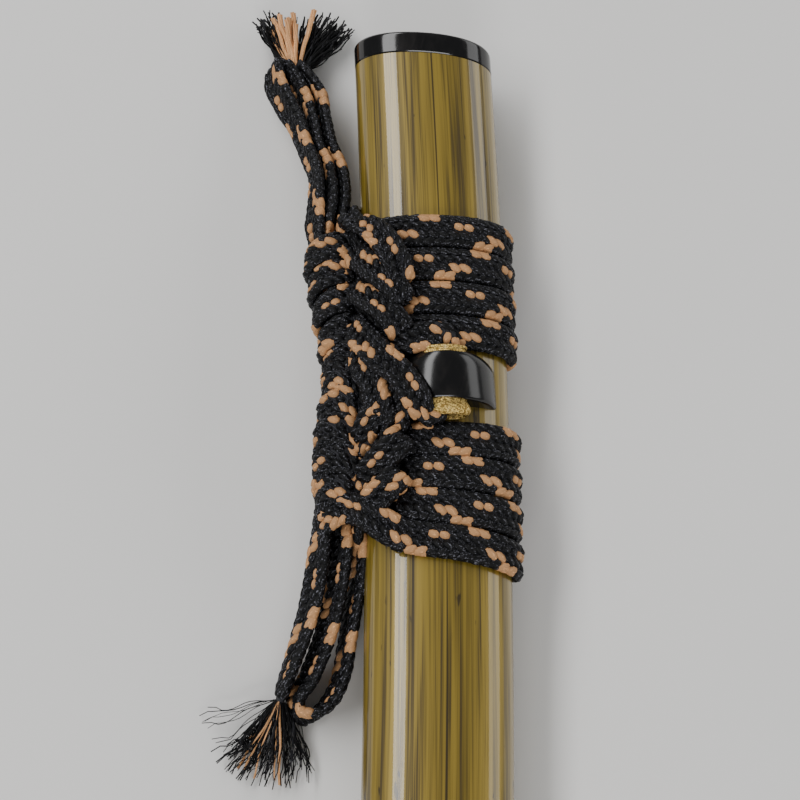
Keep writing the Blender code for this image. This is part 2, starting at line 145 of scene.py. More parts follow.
def centre(station):
    """Middle of the section at a station, in the row frame."""
    bow = station * (LENGTH - station) / (2 * CURVE_RADIUS)
    height = blend(MOUTH_THICKNESS / 2 + RISE_AT_MOUTH, TIP_THICKNESS / 2, station / LENGTH)
    return Vector((MOUTH.x + bow, MOUTH.y - station, height))


def signed_power(value, power):
    return math.copysign(abs(value) ** power, value)


def oval(half_width, half_height, angle, squareness=SQUARENESS):
    """Point of an oval outline and its outward normal, both in the XZ plane."""
    x = half_width * signed_power(math.cos(angle), 2 / squareness)
    z = half_height * signed_power(math.sin(angle), 2 / squareness)
    slope_x = signed_power(x / half_width, squareness - 1) / half_width
    slope_z = signed_power(z / half_height, squareness - 1) / half_height
    return Vector((x, 0, z)), Vector((slope_x, 0, slope_z)).normalized()


def body_half_size(station):
    share = station / LENGTH
    return (blend(MOUTH_WIDTH, TIP_WIDTH, share) / 2,
            blend(MOUTH_THICKNESS, TIP_THICKNESS, share) / 2)


def body_point(station, angle, offset=0.0):
    """Point at an offset outside the lacquer, and the outward normal there."""
    point, normal = oval(*body_half_size(station), angle)
    return centre(station) + point + normal * offset, normal


def body_ring(station, offset, count):
    return [body_point(station, math.tau * i / count, offset)[0] for i in range(count)]


def channel_ring(station, count, extra=0.0):
    """Outline of the blade's space at a station."""
    if station <= SEAT_LENGTH:
        width, thickness = SLOT_WIDTH, SLOT_THICKNESS
    else:
        share = (station - SEAT_LENGTH) / (CHANNEL_LENGTH - SEAT_LENGTH)
        width = blend(CHANNEL_WIDTH, CHANNEL_END_WIDTH, share)
        thickness = blend(CHANNEL_THICKNESS, CHANNEL_END_THICKNESS, share)
    return [centre(station) + oval(width / 2 + extra, thickness / 2 + extra,
                                   math.tau * i / count, FLAT_SQUARENESS)[0]
            for i in range(count)]


# ---- mesh helpers ----------------------------------------------------------------------
def finish_mesh(name, bm, smooth_angle=40, recalculate=True):
    if recalculate:
        bmesh.ops.recalc_face_normals(bm, faces=bm.faces)
    mesh = bpy.data.meshes.new(name)
    bm.to_mesh(mesh)
    bm.free()
    mesh.shade_smooth()
    mesh.set_sharp_from_angle(angle=math.radians(smooth_angle))
    piece = bpy.data.objects.new(name, mesh)
    bpy.context.scene.collection.objects.link(piece)
    return piece


def skin(bm, rings, closed=False):
    """Faces between equal rings of points, capped at both ends unless the rings form a loop."""
    rows = [[bm.verts.new(point) for point in ring] for ring in rings]
    pairs = list(zip(rows, rows[1:]))
    if closed:
        pairs.append((rows[-1], rows[0]))
    made = []
    for first, second in pairs:
        for i in range(len(first)):
            j = (i + 1) % len(first)
            made.append(bm.faces.new((first[i], first[j], second[j], second[i])))
    if not closed:
        made.append(bm.faces.new(rows[0][::-1]))
        made.append(bm.faces.new(rows[-1]))
    return made


def loft(name, rings, closed=False, smooth_angle=40):
    bm = bmesh.new()
    skin(bm, rings, closed)
    return finish_mesh(name, bm, smooth_angle)


def add_tube(bm, points, radii, sides=6):
    """Thin round thread through the points, closed at both ends."""
    rings = []
    side = Vector((0, 0, 1))
    for i, point in enumerate(points):
        way = (points[min(i + 1, len(points) - 1)] - points[max(i - 1, 0)]).normalized()
        side = (side - way * side.dot(way))
        if side.length < 1e-6:
            side = way.orthogonal()
        side.normalize()
        other = way.cross(side)
        rings.append([point + (side * math.cos(a) + other * math.sin(a)) * radii[i]
                      for a in (math.tau * k / sides for k in range(sides))])
    return skin(bm, rings)


def cut(piece, cutter):
    """Takes the cutter out of the piece for good."""
    modifier = piece.modifiers.new("cut", "BOOLEAN")
    modifier.operation = "DIFFERENCE"
    modifier.solver = "EXACT"
    modifier.object = cutter
    depsgraph = bpy.context.evaluated_depsgraph_get()
    result = bpy.data.meshes.new_from_object(piece.evaluated_get(depsgraph))
    piece.modifiers.clear()
    old = piece.data
    piece.data = result
    bpy.data.meshes.remove(old)
    bpy.data.objects.remove(cutter)


def place(piece, slot, *nodes):
    """Puts a finished piece into the frame."""
    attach(piece, "root")
    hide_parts(*nodes)


def give(piece, *finishes):
    piece.data.materials.clear()
    for finish in finishes:
        piece.data.materials.append(finish)


# ---- materials ---------------------------------------------------------------------------
def arithmetic(operation, swapped=False):
    """Operator of Value that adds a Math node for the operation."""
    def apply(self, other):
        return self.math(operation, *((other, self) if swapped else (self, other)))
    return apply


class Value:
    """A number that varies over a surface; arithmetic on it adds Math nodes."""

    def __init__(self, finish, socket):
        self.finish = finish
        self.socket = socket

    def math(self, operation, *values):
        return self.finish.node("ShaderNodeMath", {"operation": operation}, dict(enumerate(values)))

    __add__ = arithmetic("ADD")
    __radd__ = arithmetic("ADD", swapped=True)
    __sub__ = arithmetic("SUBTRACT")
    __rsub__ = arithmetic("SUBTRACT", swapped=True)
    __mul__ = arithmetic("MULTIPLY")
    __rmul__ = arithmetic("MULTIPLY", swapped=True)

    def clamped(self):
        return self.finish.node("ShaderNodeClamp", {}, {0: self, 1: 0.0, 2: 1.0})

    def ramp(self, low, high):
        """0 below low, 1 above high, smooth between them."""
        return self.finish.node("ShaderNodeMapRange", {"interpolation_type": "SMOOTHSTEP"},
                                {"Value": self, "From Min": low, "From Max": high,
                                 "To Min": 0.0, "To Max": 1.0})


class Finish:
    """A material on one Principled shader."""

    def __init__(self, name, **constants):
        self.made = bpy.data.materials.new(name)
        self.made.use_nodes = True
        self.shader = self.made.node_tree.nodes["Principled BSDF"]
        for socket, value in constants.items():
            self.shader.inputs[socket.replace("_", " ")].default_value = value

    def node(self, kind, settings=None, inputs=None, output=0):
        node = self.made.node_tree.nodes.new(kind)
        for name, value in (settings or {}).items():
            setattr(node, name, value)
        for name, value in (inputs or {}).items():
            self.connect(value, node.inputs[name])
        return Value(self, node.outputs[output])

    def connect(self, value, socket):
        if isinstance(value, Value):
            self.made.node_tree.links.new(value.socket, socket)
        else:
            socket.default_value = value

    def feed(self, socket, value):
        self.connect(value, self.shader.inputs[socket])

    def place(self):
        return self.node("ShaderNodeTexCoord", output="Object")

    def attribute(self, name, output="Vector"):
        return self.node("ShaderNodeAttribute", {"attribute_name": name}, output=output)

    def scaled(self, vector, scale):
        return self.node("ShaderNodeVectorMath", {"operation": "MULTIPLY"}, {0: vector, 1: scale})

    def noise(self, vector, scale=1.0, detail=2.0, roughness=0.5, distortion=0.0):
        return self.node("ShaderNodeTexNoise", {},
                         {"Vector": vector, "Scale": scale, "Detail": detail,
                          "Roughness": roughness, "Distortion": distortion})

    def mix(self, factor, first, second):
        return self.node("ShaderNodeMix", {"data_type": "RGBA"},
                         {"Factor": factor, "A": first, "B": second}, output="Result")

    def bump(self, height, distance, strength=1.0):
        self.feed("Normal", self.node("ShaderNodeBump", {}, {
            "Height": height, "Distance": distance, "Strength": strength}, output="Normal"))


def opaque(colour, shade=1.0):
    return (*(channel * shade for channel in colour), 1.0)


def lacquer_finish(settings):
    """Olive gold streaked along the scabbard under a deep clear coat."""
    finish = Finish("olive_gold_lacquer", Metallic=0.30, Coat_Weight=1.0, Coat_Roughness=0.035,
                    Coat_IOR=1.5)
    along = 1 / settings.streak_length
    across = 1 / settings.streak_width
    skin_place = finish.attribute("straightened")

    def streaks(width_share, length_share, detail, distortion=0.0):
        scale = (across / width_share, along / length_share, across / width_share)
        return finish.noise(finish.scaled(skin_place, scale), 1.0, detail, 0.6, distortion)

    broad = streaks(2.6, 2.0, 3.0, 0.3)
    usual = streaks(0.9, 1.2, 3.0, 0.4)
    fine = streaks(0.28, 0.5, 2.0)
    hair = streaks(0.12, 0.35, 1.0)
    spots = finish.noise(finish.scaled(skin_place, (520.0, 160.0, 520.0)), 1.0, 1.0)
    gold = (usual * 0.55 + broad * 0.3 + fine * 0.25).ramp(0.44, 0.66)
    brown = (usual * 0.45 + fine * 0.4 + hair * 0.15).ramp(0.50, 0.40)
    dark = (streaks(0.55, 3.0, 1.0, 0.2) * 0.7 + broad * 0.3).ramp(0.415, 0.36)
    knots = (spots * 0.7 + usual * 0.3).ramp(0.335, 0.29)
    colour = finish.mix(gold, opaque(settings.olive), opaque(settings.gold))
    colour = finish.mix(brown * 0.75, colour, opaque(settings.streak, 1.8))
    colour = finish.mix((dark * 0.85 + knots * 0.8).clamped(), colour, opaque(settings.streak))
    finish.feed("Base Color", colour)
    finish.feed("Roughness", 0.30 + 0.22 * hair + 0.12 * brown)
    finish.bump(usual * 0.5 + fine * 0.35, 0.00004, 0.35)
    return finish.made


def wood_finish():
    """Bare pale wood inside the blade channel."""
    finish = Finish("bare_wood", Metallic=0.0)
    skin_place = finish.attribute("straightened")
    grain = finish.noise(finish.scaled(skin_place, (700.0, 9.0, 700.0)), 1.0, 4.0, 0.6, 0.3)
    colour = finish.mix(grain.ramp(0.35, 0.65), (0.52, 0.36, 0.20, 1.0), (0.30, 0.18, 0.09, 1.0))
    finish.feed("Base Color", colour)
    finish.feed("Roughness", 0.55 + 0.25 * grain)
    finish.bump(grain, 0.0001, 0.5)
    return finish.made


def horn_finish(name, warmth, dullness=0.05):
    """Polished black horn with faint darker and lighter layers."""
    finish = Finish(name, Metallic=0.0, Specular_IOR_Level=0.5)
    place_in_piece = finish.place()
    layers = finish.noise(finish.scaled(place_in_piece, (160.0, 60.0, 420.0)), 1.0, 4.0, 0.6, 0.8)
    specks = finish.noise(place_in_piece, 2600.0, 1.0)
    dark = (0.0035, 0.0034, 0.0036, 1.0)
    light = (0.014 + warmth, 0.0125 + warmth * 0.6, 0.012, 1.0)
    finish.feed("Base Color", finish.mix(layers.ramp(0.45, 0.75), dark, light))
    finish.feed("Roughness", dullness + 0.07 * layers + 0.03 * specks)
    finish.bump(layers, 0.00004, 0.25)
    return finish.made


def gilt_finish():
    """Punched gilt metal with painted shade in its hollows."""
    finish = Finish("gilt_metal", Metallic=1.0)
    place_in_piece = finish.place()
    grains = finish.node("ShaderNodeTexVoronoi", {"feature": "F1"},
                         {"Vector": place_in_piece, "Scale": 2100.0}, output="Distance")
    wear = finish.noise(place_in_piece, 420.0, 3.0, 0.6)
    # Painted shade: the colour is darkened in the punched hollows.
    shaded_hollow = grains.ramp(0.30, 0.75)
    colour = finish.mix(shaded_hollow, (0.83, 0.60, 0.20, 1.0), (0.26, 0.16, 0.04, 1.0))
    colour = finish.mix(wear.ramp(0.60, 0.75) * 0.5, colour, (0.95, 0.82, 0.48, 1.0))
    finish.feed("Base Color", colour)
    finish.feed("Roughness", 0.24 + 0.25 * shaded_hollow + 0.10 * wear)
    finish.bump(1 - grains, 0.00022, 0.8)
    return finish.made


def silk_finish(name, colour, deep, glint_brightness, bump_depth):
    """Yarn of parallel silk fibres along each stitch. Lighter strands along the fibres are painted
    glints that raise the dye's colour by a factor, and deep darkens it between them; on black silk
    they are painted highlights, on peach silk partly fibre tone and partly painted sheen.
    """
    finish = Finish(name, Metallic=0.0, Specular_IOR_Level=0.2)
    around = finish.attribute("fibre")
    shade = finish.attribute("shade", output="Fac")
    strands = finish.noise(finish.scaled(around, (8.0, 1.6, 1.0)), 1.0, 2.0, 0.6, 0.6)
    fuzz = finish.noise(finish.place(), 2600.0, 2.0)
    # Mask of the painted glints along the fibres, partly fibre tone on the peach silk.
    light = (strands * 0.6 + fuzz * 0.4).ramp(0.51, 0.62)
    tone = finish.mix(light, opaque(colour, deep), opaque(colour, glint_brightness))
    tone = finish.mix(shade * 0.5, tone, opaque(colour, 0.5))
    finish.feed("Base Color", tone)
    finish.feed("Roughness", 0.46 + 0.25 * fuzz - 0.18 * light)
    finish.bump(strands * 0.8 + fuzz * 0.35, bump_depth, 0.9)
    return finish.made


def core_finish(settings):
    """Tight diagonal yarn that shows along the cord's edges and between its stitches."""
    finish = Finish("black_braid_core", Metallic=0.0, Specular_IOR_Level=0.2)
    lay = finish.attribute("lay")
    yarns = finish.node("ShaderNodeTexWave", {"wave_type": "BANDS", "bands_direction": "DIAGONAL"},
                        {"Vector": lay, "Scale": 0.9, "Distortion": 1.4,
                         "Detail": 2.0, "Detail Scale": 2.0}, output="Fac")
    fuzz = finish.noise(finish.place(), 3000.0, 2.0)
    finish.feed("Base Color", finish.mix(yarns * 0.6 + fuzz * 0.4, opaque(settings.black, 0.5),
                                         opaque(settings.black, 12.0)))
    finish.feed("Roughness", 0.5 + 0.25 * fuzz)
    finish.bump(yarns * 0.7 + fuzz * 0.4, 0.00022, 0.8)
    return finish.made


def floor_finish(settings):
    finish = Finish("pale_floor", Metallic=0.0)
    mottle = finish.noise(finish.place(), 9.0, 4.0, 0.6)
    finish.feed("Base Color", finish.mix(mottle, opaque(settings.floor, 0.97),
                                         opaque(settings.floor, 1.03)))
    finish.feed("Roughness", 0.7 + 0.1 * mottle)
    return finish.made


# ---- lacquered body and horn fittings ----------------------------------------------------
AROUND = 96


def mark_straightened(piece):
    """Stores each point's place as if the scabbard were straight, for the streaks to follow."""
    marks = piece.data.attributes.new("straightened", "FLOAT_VECTOR", "POINT")
    for vertex, mark in zip(piece.data.vertices, marks.data):
        station = MOUTH.y - vertex.co.y
        middle = centre(min(max(station, 0.0), LENGTH))
        mark.vector = (vertex.co.x - middle.x, -station, vertex.co.z - middle.z)


def body_piece():
    """Lacquered skin, its stepped ends and the blade channel, as one closed shell."""
    shoulder_front = RING_LENGTH + GAP / 3
    shoulder_back = LENGTH - CAP_LENGTH - GAP / 3
    channel_stations = [CHANNEL_LENGTH - 0.055 * i for i in range(12)] + [SEAT_LENGTH + 0.0005]
    rings = [channel_ring(s, AROUND) for s in channel_stations]
    rings += [channel_ring(s, AROUND) for s in (SEAT_LENGTH, RING_LIP + GAP)]
    rings.append(body_ring(RING_LIP + GAP, -RING_WALL - GAP, AROUND))
    rings.append(body_ring(shoulder_front + GAP, -RING_WALL - GAP, AROUND))
    inner_count = len(rings)
    rings.append(body_ring(shoulder_front, -GAP / 2, AROUND))
    rings.append(body_ring(shoulder_front + GAP / 2, 0.0, AROUND))
    rings += [body_ring(blend(shoulder_front, shoulder_back, i / 90), 0.0, AROUND)
              for i in range(1, 90)]
    rings.append(body_ring(shoulder_back - GAP / 2, 0.0, AROUND))
    rings.append(body_ring(shoulder_back, -GAP / 2, AROUND))
    rings.append(body_ring(shoulder_back - GAP, -CAP_WALL - GAP, AROUND))
    rings.append(body_ring(LENGTH - CAP_FLOOR - GAP, -CAP_WALL - GAP, AROUND))
    body = loft("lacquered_body", rings)
    mark_straightened(body)
    for face in body.data.polygons:
        face.material_index = int(max(face.vertices) < inner_count * AROUND)
    return body


def rounded_stops(face, inner, rounding):
    """Stations and insets of an outer skin whose end at the face is rounded."""
    direction = 1 if inner > face else -1
    stops = [(inner, 0.0)]
    for i in range(9):
        angle = math.pi / 2 * i / 8
        stops.append((face + direction * rounding * (1 - math.sin(angle)),
                      rounding * (1 - math.cos(angle))))
    return stops


def mouth_ring_piece():
    """Horn ring whose rim and slot edge are both softly rounded."""
    rings = [body_ring(RING_LENGTH, -RING_WALL, AROUND)]
    rings += [body_ring(s, -inset, AROUND)
              for s, inset in [(RING_LENGTH, 0.0003), (RING_LENGTH - 0.0003, 0.0)]]
    rings += [body_ring(s, -inset, AROUND) for s, inset in rounded_stops(0, 0.0025, RIM_ROUND)]
    edge = 0.0006
    for i in range(5):
        angle = math.pi / 2 * i / 4
        station = edge * (1 - math.cos(angle))
        rings.append(channel_ring(station, AROUND, edge * (1 - math.sin(angle))))
    rings.append(channel_ring(RING_LIP, AROUND))
    rings.append(body_ring(RING_LIP, -RING_WALL, AROUND))
    return loft("mouth_ring", rings, closed=True)


def end_cap_piece():
    pocket = [body_ring(s, -CAP_WALL, AROUND) for s in (LENGTH - CAP_FLOOR, LENGTH - CAP_LENGTH)]
    lip = [body_ring(LENGTH - CAP_LENGTH, -0.0003, AROUND)]
    stops = rounded_stops(LENGTH, LENGTH - CAP_LENGTH + 0.0003, CAP_ROUND)
    return loft("end_cap", pocket + lip + [body_ring(s, -inset, AROUND) for s, inset in stops])


# ---- cord knob and eyelets ----------------------------------------------------------------
def knob_surface():
    """Point of the lacquer's front face under the knob's middle."""
    half_width, half_height = body_half_size(KNOB_STATION)
    share = 1 - abs(KNOB_SIDE / half_width) ** SQUARENESS
    return centre(KNOB_STATION) + Vector((KNOB_SIDE, 0, half_height * share ** (1 / SQUARENESS)))


def bore_centre():
    return knob_surface() + Vector((0, 0, BORE_LIFT))


def turn_with_bow(piece):
    """Turns a fitting about the knob's upright axis to follow the scabbard's bow."""
    slope = (LENGTH - 2 * KNOB_STATION) / (2 * CURVE_RADIUS)
    middle = knob_surface()
    turn = Matrix.Rotation(math.atan(slope), 4, "Z")
    piece.data.transform(Matrix.Translation(middle) @ turn @ Matrix.Translation(-middle))


def bore_prism(half_width, half_height, half_length):
    middle = bore_centre()
    rings = []
    for y in (-half_length, half_length):
        rings.append([middle + Vector((0, y, 0))
                      + Vector((half_width * math.cos(a), 0, half_height * math.sin(a)))
                      for a in (math.tau * i / 64 for i in range(64))])
    return loft("bore_cutter", rings)


def knob_piece():
    """Domed horn knob with crisp but rounded ends, fitted to the lacquer and bored."""
    top = knob_surface() + Vector((0, 0, KNOB_HEIGHT))
    foot = top.z - KNOB_HEIGHT - KNOB_FOOT_DROP
    half_length = KNOB_LENGTH / 2
    stops = []
    for end, rounding, narrowing, lowering in KNOB_ENDS:
        rim = []
        for i in range(9):
            angle = math.pi / 2 * i / 8
            share = 1 - math.cos(angle)
            rim.append((end * (half_length - rounding * (1 - math.sin(angle))),
                        narrowing * share, lowering * share))
        stops += rim[::-1] if end == 1 else rim
    crown = [(y, 0.0, 0.0) for y in (0.0012, 0.0, -0.0022, -0.0045)]
    stops = stops[:9] + crown + stops[9:]
    rings = []
    for y, narrower, lower in stops:
        swell = KNOB_SWELL * (1 - (y / half_length) ** 2)
        half_width = KNOB_WIDTH / 2 + KNOB_FLARE * (0.5 - y / KNOB_LENGTH) - narrower
        height = top.z - foot - lower - KNOB_SWELL + swell
        ring = []
        for i in range(65):
            point, _ = oval(half_width, height, math.pi * i / 64, 2.0)
            ring.append(Vector((top.x + point.x, top.y + y, foot + abs(point.z))))
        below = Vector((0, 0, KNOB_SKIRT))
        ring += [ring[-1] - below, ring[0] - below]
        rings.append(ring)
    knob = loft("cord_knob_dome", rings)
    around_knob = (KNOB_STATION - KNOB_LENGTH, KNOB_STATION, KNOB_STATION + KNOB_LENGTH)
    cut(knob, bore_prism(BORE_WIDTH / 2 + EYELET_WALL + GAP,
                         BORE_HEIGHT / 2 + EYELET_WALL + GAP, KNOB_LENGTH))
    turn_with_bow(knob)
    cut(knob, loft("seat_cutter", [body_ring(s, KNOB_SEAT, 160) for s in around_knob]))
    knob.data.shade_smooth()
    knob.data.set_sharp_from_angle(angle=math.radians(32))
    return knob


def eyelet_piece(name, direction, proud, flare):
    """Gilt oval tube that ends in a rolled lip."""
    bore = BORE_HEIGHT / 2
    outer = bore + EYELET_WALL
    outline = [(bore, proud - 0.0066), (outer, proud - 0.0066), (outer, 0.0)]
    steps = 8
    for i in range(steps + 1):
        share = i / steps
        outline.append((outer + flare * math.sin(share * math.pi) ** 0.8 * (0.6 + 0.4 * share),
                        proud * (0.08 + 0.92 * share)))
    outline += [(bore + EYELET_WALL * 0.4, proud + 0.0001), (bore, proud - 0.0004)]
    stretch = (BORE_WIDTH - BORE_HEIGHT) / 2
    face = bore_centre() + Vector((0, direction * KNOB_LENGTH / 2, 0))
    rings = []
    for i in range(AROUND):
        angle = math.tau * i / AROUND
        side = Vector((math.cos(angle), 0, math.sin(angle)))
        shift = Vector((stretch * math.cos(angle), 0, 0))
        rings.append([face + shift + side * radius + Vector((0, direction * along, 0))
                      for radius, along in outline])
    eyelet = loft(name, rings, closed=True)
    turn_with_bow(eyelet)
    return eyelet


# ---- route of the cord ----------------------------------------------------------------------
class Stop:
    """A point that the cord passes, with its face's direction there and how wide it lies."""

    def __init__(self, point, facing=None, width=1.0):
        self.point = point
        self.facing = facing
        self.width = width


def over(station, angle, lift, width=1.0, lean=0.0):
    """Stop above the lacquer; a positive lean turns the face towards the mouth."""
    point, normal = body_point(station * MM, math.radians(angle), lift * MM)
    return Stop(point, normal + Vector((0, lean, 0)), width)


def beside(station, side, height, facing=None, width=1.0, lean=0.0):
    """Stop beside the middle line; facing is an angle in the section's plane."""
    middle = centre(station * MM)
    point = Vector((middle.x + side * MM, middle.y, height * MM))
    direction = None
    if facing is not None:
        angle = math.radians(facing)
        direction = Vector((math.cos(angle), lean, math.sin(angle)))
    return Stop(point, direction, width)


def along_table(station, table):
    """Value at a station, straight between the table's rows."""
    if station <= table[0][0]:
        return table[0][1]
    for (first, low), (second, high) in zip(table, table[1:]):
        if station <= second:
            return blend(low, high, (station - first) / (second - first))
    return table[-1][1]


LEFT_EDGE = [(62, -36.6), (80, -34.2), (95, -31.6), (104, -30.8), (118, -33.0), (127, -33.9),
             (136, -33.2), (147, -31.6)]
FURROW = [(62, -24.3), (72, -23.5), (98, -21.4), (124, -20.4), (146, -19.8)]
ROUTE_STEP = 0.0011
LOOP_WIDTH = 0.87           # widths are shares of the cord's full width
CROSSING_WIDTH = 0.78
LEAN = 0.45                 # of a crossing's face, back from the way that it goes


def left_edge(station):
    return along_table(station, LEFT_EDGE)


def furrow(station):
    return along_table(station, FURROW)


def column_middle(station):
    return (left_edge(station) + furrow(station)) / 2


def upper_loop(g):
    """From the furrow round the folded tail, down its outside and back up to the furrow."""
    w = LOOP_WIDTH
    return [
        beside(g + 0.4, furrow(g) + 0.6, 23.4, 60, w),
        beside(g + 1.4, column_middle(g) + 1.6, 24.3, 92, w, 0.12),
        beside(g + 2.9, left_edge(g) + 3.4, 22.2, 132, w, 0.12),
        beside(g + 4.4, left_edge(g) + 1.4, 17.0, 178, w),
        beside(g + 4.4, left_edge(g) + 2.8, 11.6, 220, w),
        beside(g + 3.0, column_middle(g), 9.4, 270, w),
        beside(g + 0.4, column_middle(g) + 3.6, 12.4, 330, w),
        beside(g - 1.4, furrow(g) - 1.8, 17.6, 0, w),
    ]


def lower_loop(g):
    """Up round the folded tail from below, over it and down into the furrow."""
    w = LOOP_WIDTH
    return [
        beside(g + 4.6, column_middle(g) + 1.6, 9.6, 280, w),
        beside(g + 4.0, left_edge(g) + 2.6, 12.0, 215, w),
        beside(g + 2.6, left_edge(g) + 1.4, 17.2, 178, w),
        beside(g + 0.2, left_edge(g) + 3.4, 22.3, 130, w, -0.15),
        beside(g - 0.8, column_middle(g) + 0.6, 24.4, 92, w, -0.1),
        beside(g + 1.6, furrow(g) - 0.6, 24.0, 66, w, 0.1),
    ]


def turn_station(number, angle, left, right):
    """Station of a turn's front part, which fans out from the left to the right."""
    share = min(max((120 - angle) / 90, 0.0), 1.0)
    return blend(left[number], right[number], share)


TURN_LIFT = 1.55            # from the lacquer to the middle of a turn
# Stations of the turns at the left and right end of their way over the front.
UPPER_LEFT = [64.2, 74.0, 83.9, 93.4]
UPPER_RIGHT = [62.5, 72.3, 82.2, 92.3]
LOWER_LEFT = [124.2, 132.7, 141.3, 150.0]
LOWER_RIGHT = [121.9, 132.0, 142.2, 152.4]


def upper_turns():
    """Four turns, each straight over the front and moved on one pitch underneath."""
    stops = [over(80, 119, 4.3, 0.8), over(71, 134, 4.3, 0.8), over(63, 151, 4.2, 0.8),
             over(57.4, 167, 2.9, 0.8), over(55.4, 182, TURN_LIFT, 0.82)]
    before = 55.0
    for number in range(4):
        stops += [over(blend(before, UPPER_RIGHT[number], (a - 180) / 180), a, TURN_LIFT)
                  for a in range(205, 360, 25)]
        last = 120 if number == 3 else 180
        stops += [over(turn_station(number, a, UPPER_LEFT, UPPER_RIGHT), a, TURN_LIFT)
                  for a in range(0, last + 1, 20)]
        before = UPPER_LEFT[number]
    return stops


def lower_turns():
    """Four turns from the tip end back towards the knob, fanned out on the front."""
    stops = []
    for number in (3, 2, 1, 0):
        first = 104 if number == 3 else 160
        stops += [over(turn_station(number, a, LOWER_LEFT, LOWER_RIGHT), a, TURN_LIFT)
                  for a in range(first, -1, -19)]
        before = LOWER_LEFT[number - 1] if number else 116.4
        stops += [over(blend(LOWER_RIGHT[number], before, a / 180), -a, TURN_LIFT)
                  for a in range(22, 181, 24)]
    return stops


def upper_tail():
    """Frayed end, two runs that stand on edge and the run that goes into the loops."""
    return [beside(*row) for row in (
        (2.6, -37.2, 6.4, -10), (7.0, -34.2, 6.8, -15), (13.0, -31.4, 7.6, -25),
        (22.4, -29.8, 9.4, -18), (31.7, -28.0, 11.8, -10), (40.8, -25.2, 14.2, -12),
        (49.7, -24.8, 16.2, -20), (60.0, -25.6, 17.4, -10), (69, -26.4, 17.6, 0),
        (74.5, -28.0, 17.4), (69, -29.7, 17.0, 0), (59, -29.2, 16.8, -10), (50.0, -28.3, 16.4, -20),
        (41.1, -28.7, 14.2, -12), (32.0, -31.6, 11.6, -10), (22.6, -33.6, 9.2, -18),
        (13.4, -36.2, 7.4, -25), (7.2, -38.8, 6.4, -30), (2.6, -41.2, 5.9), (2.0, -43.6, 5.9),
        (6.4, -44.2, 6.6, -36), (13.8, -42.0, 8.2, -30), (22.9, -37.8, 10.0, -20),
        (32.2, -35.2, 12.4, -10), (41.6, -32.4, 15.2, -12), (50.5, -32.4, 17.0, -22),
        (58.9, -32.8, 18.0, -30), (68, -31.4, 18.0, -14), (80, -29.4, 17.0, 0),
        (93, -27.4, 17.0, 0), (100, -25.8, 17.6, 10), (101.5, -22.8, 20.4, 50),
    )]


def upper_knot():
    stops = upper_loop(98.4)
    stops += [over(97.0, 152, 4.6, 0.8, 0.2), over(101.0, 146, 6.0, 0.8, 0.2),
              over(105.2, 141, 6.8, 0.8), over(109.5, 133, 7.0, 0.8, -0.2),
              over(113.2, 130.5, 7.0, 0.8, -0.2), over(116.8, 127.5, 6.6, 0.78, -0.2),
              over(119.6, 127.6, 5.4, 0.78), over(119.4, 130.0, 4.2, 0.78),
              over(113.0, 139.0, 3.6, 0.78), over(104.0, 148.0, 3.6, 0.78),
              over(95.0, 154.0, 4.0, 0.8)]
    stops += upper_loop(90.6)
    stops += upper_loop(82.4)
    stops += crossing([(81.0, 150, 5.0), (82.8, 143.5, 6.4), (85.9, 131.8, 7.2),
                       (89.2, 122.3, 7.4), (92.2, 115.8, 7.1), (94.6, 112.6, 6.0)])
    stops += upper_loop(74.2)
    stops += crossing([(69.6, 152, 5.0), (72.0, 145, 6.4), (75.8, 133.2, 7.2),
                       (79.4, 123.6, 7.4), (82.8, 115.0, 7.1), (85.8, 111.2, 6.0)])
    stops += upper_loop(66.6)
    stops += [beside(62.8, -24.6, 18.4, 10, 0.8), beside(61.2, -23.6, 22.4, 30, 0.8, 0.4),
              beside(61.4, -21.8, 26.4, 50, 0.8, 0.9), over(62.9, 139, 7.2, 0.8, 0.9),
              over(65.4, 129.5, 7.6, 0.8, 0.7), over(69.5, 121, 7.7, 0.8, 0.5),
              over(73.6, 115.5, 7.6, 0.8, 0.3), over(78.0, 112.4, 7.2, 0.8, 0.1),
              over(81.0, 111.8, 6.0, 0.8), over(80.6, 112.6, 4.6, 0.8)]
    return stops


def crossing(marks):
    """A strand over the shoulder towards the turns, folded under itself and back inside."""
    w = CROSSING_WIDTH
    way = math.copysign(1.0, marks[-1][0] - marks[0][0])
    leans = [LEAN * way] * (len(marks) - 1) + [0.2 * way]
    stops = [over(*mark, w, lean) for mark, lean in zip(marks, leans)]
    end, angle, _ = marks[-1]
    start = marks[0][0]
    stops += [over(end - 0.6 * way, angle + 0.8, 4.5, w)]
    stops += [over(blend(end, start, share), blend(angle, 153, share), 4.2, w)
              for share in (0.25, 0.6, 0.95)]
    return stops


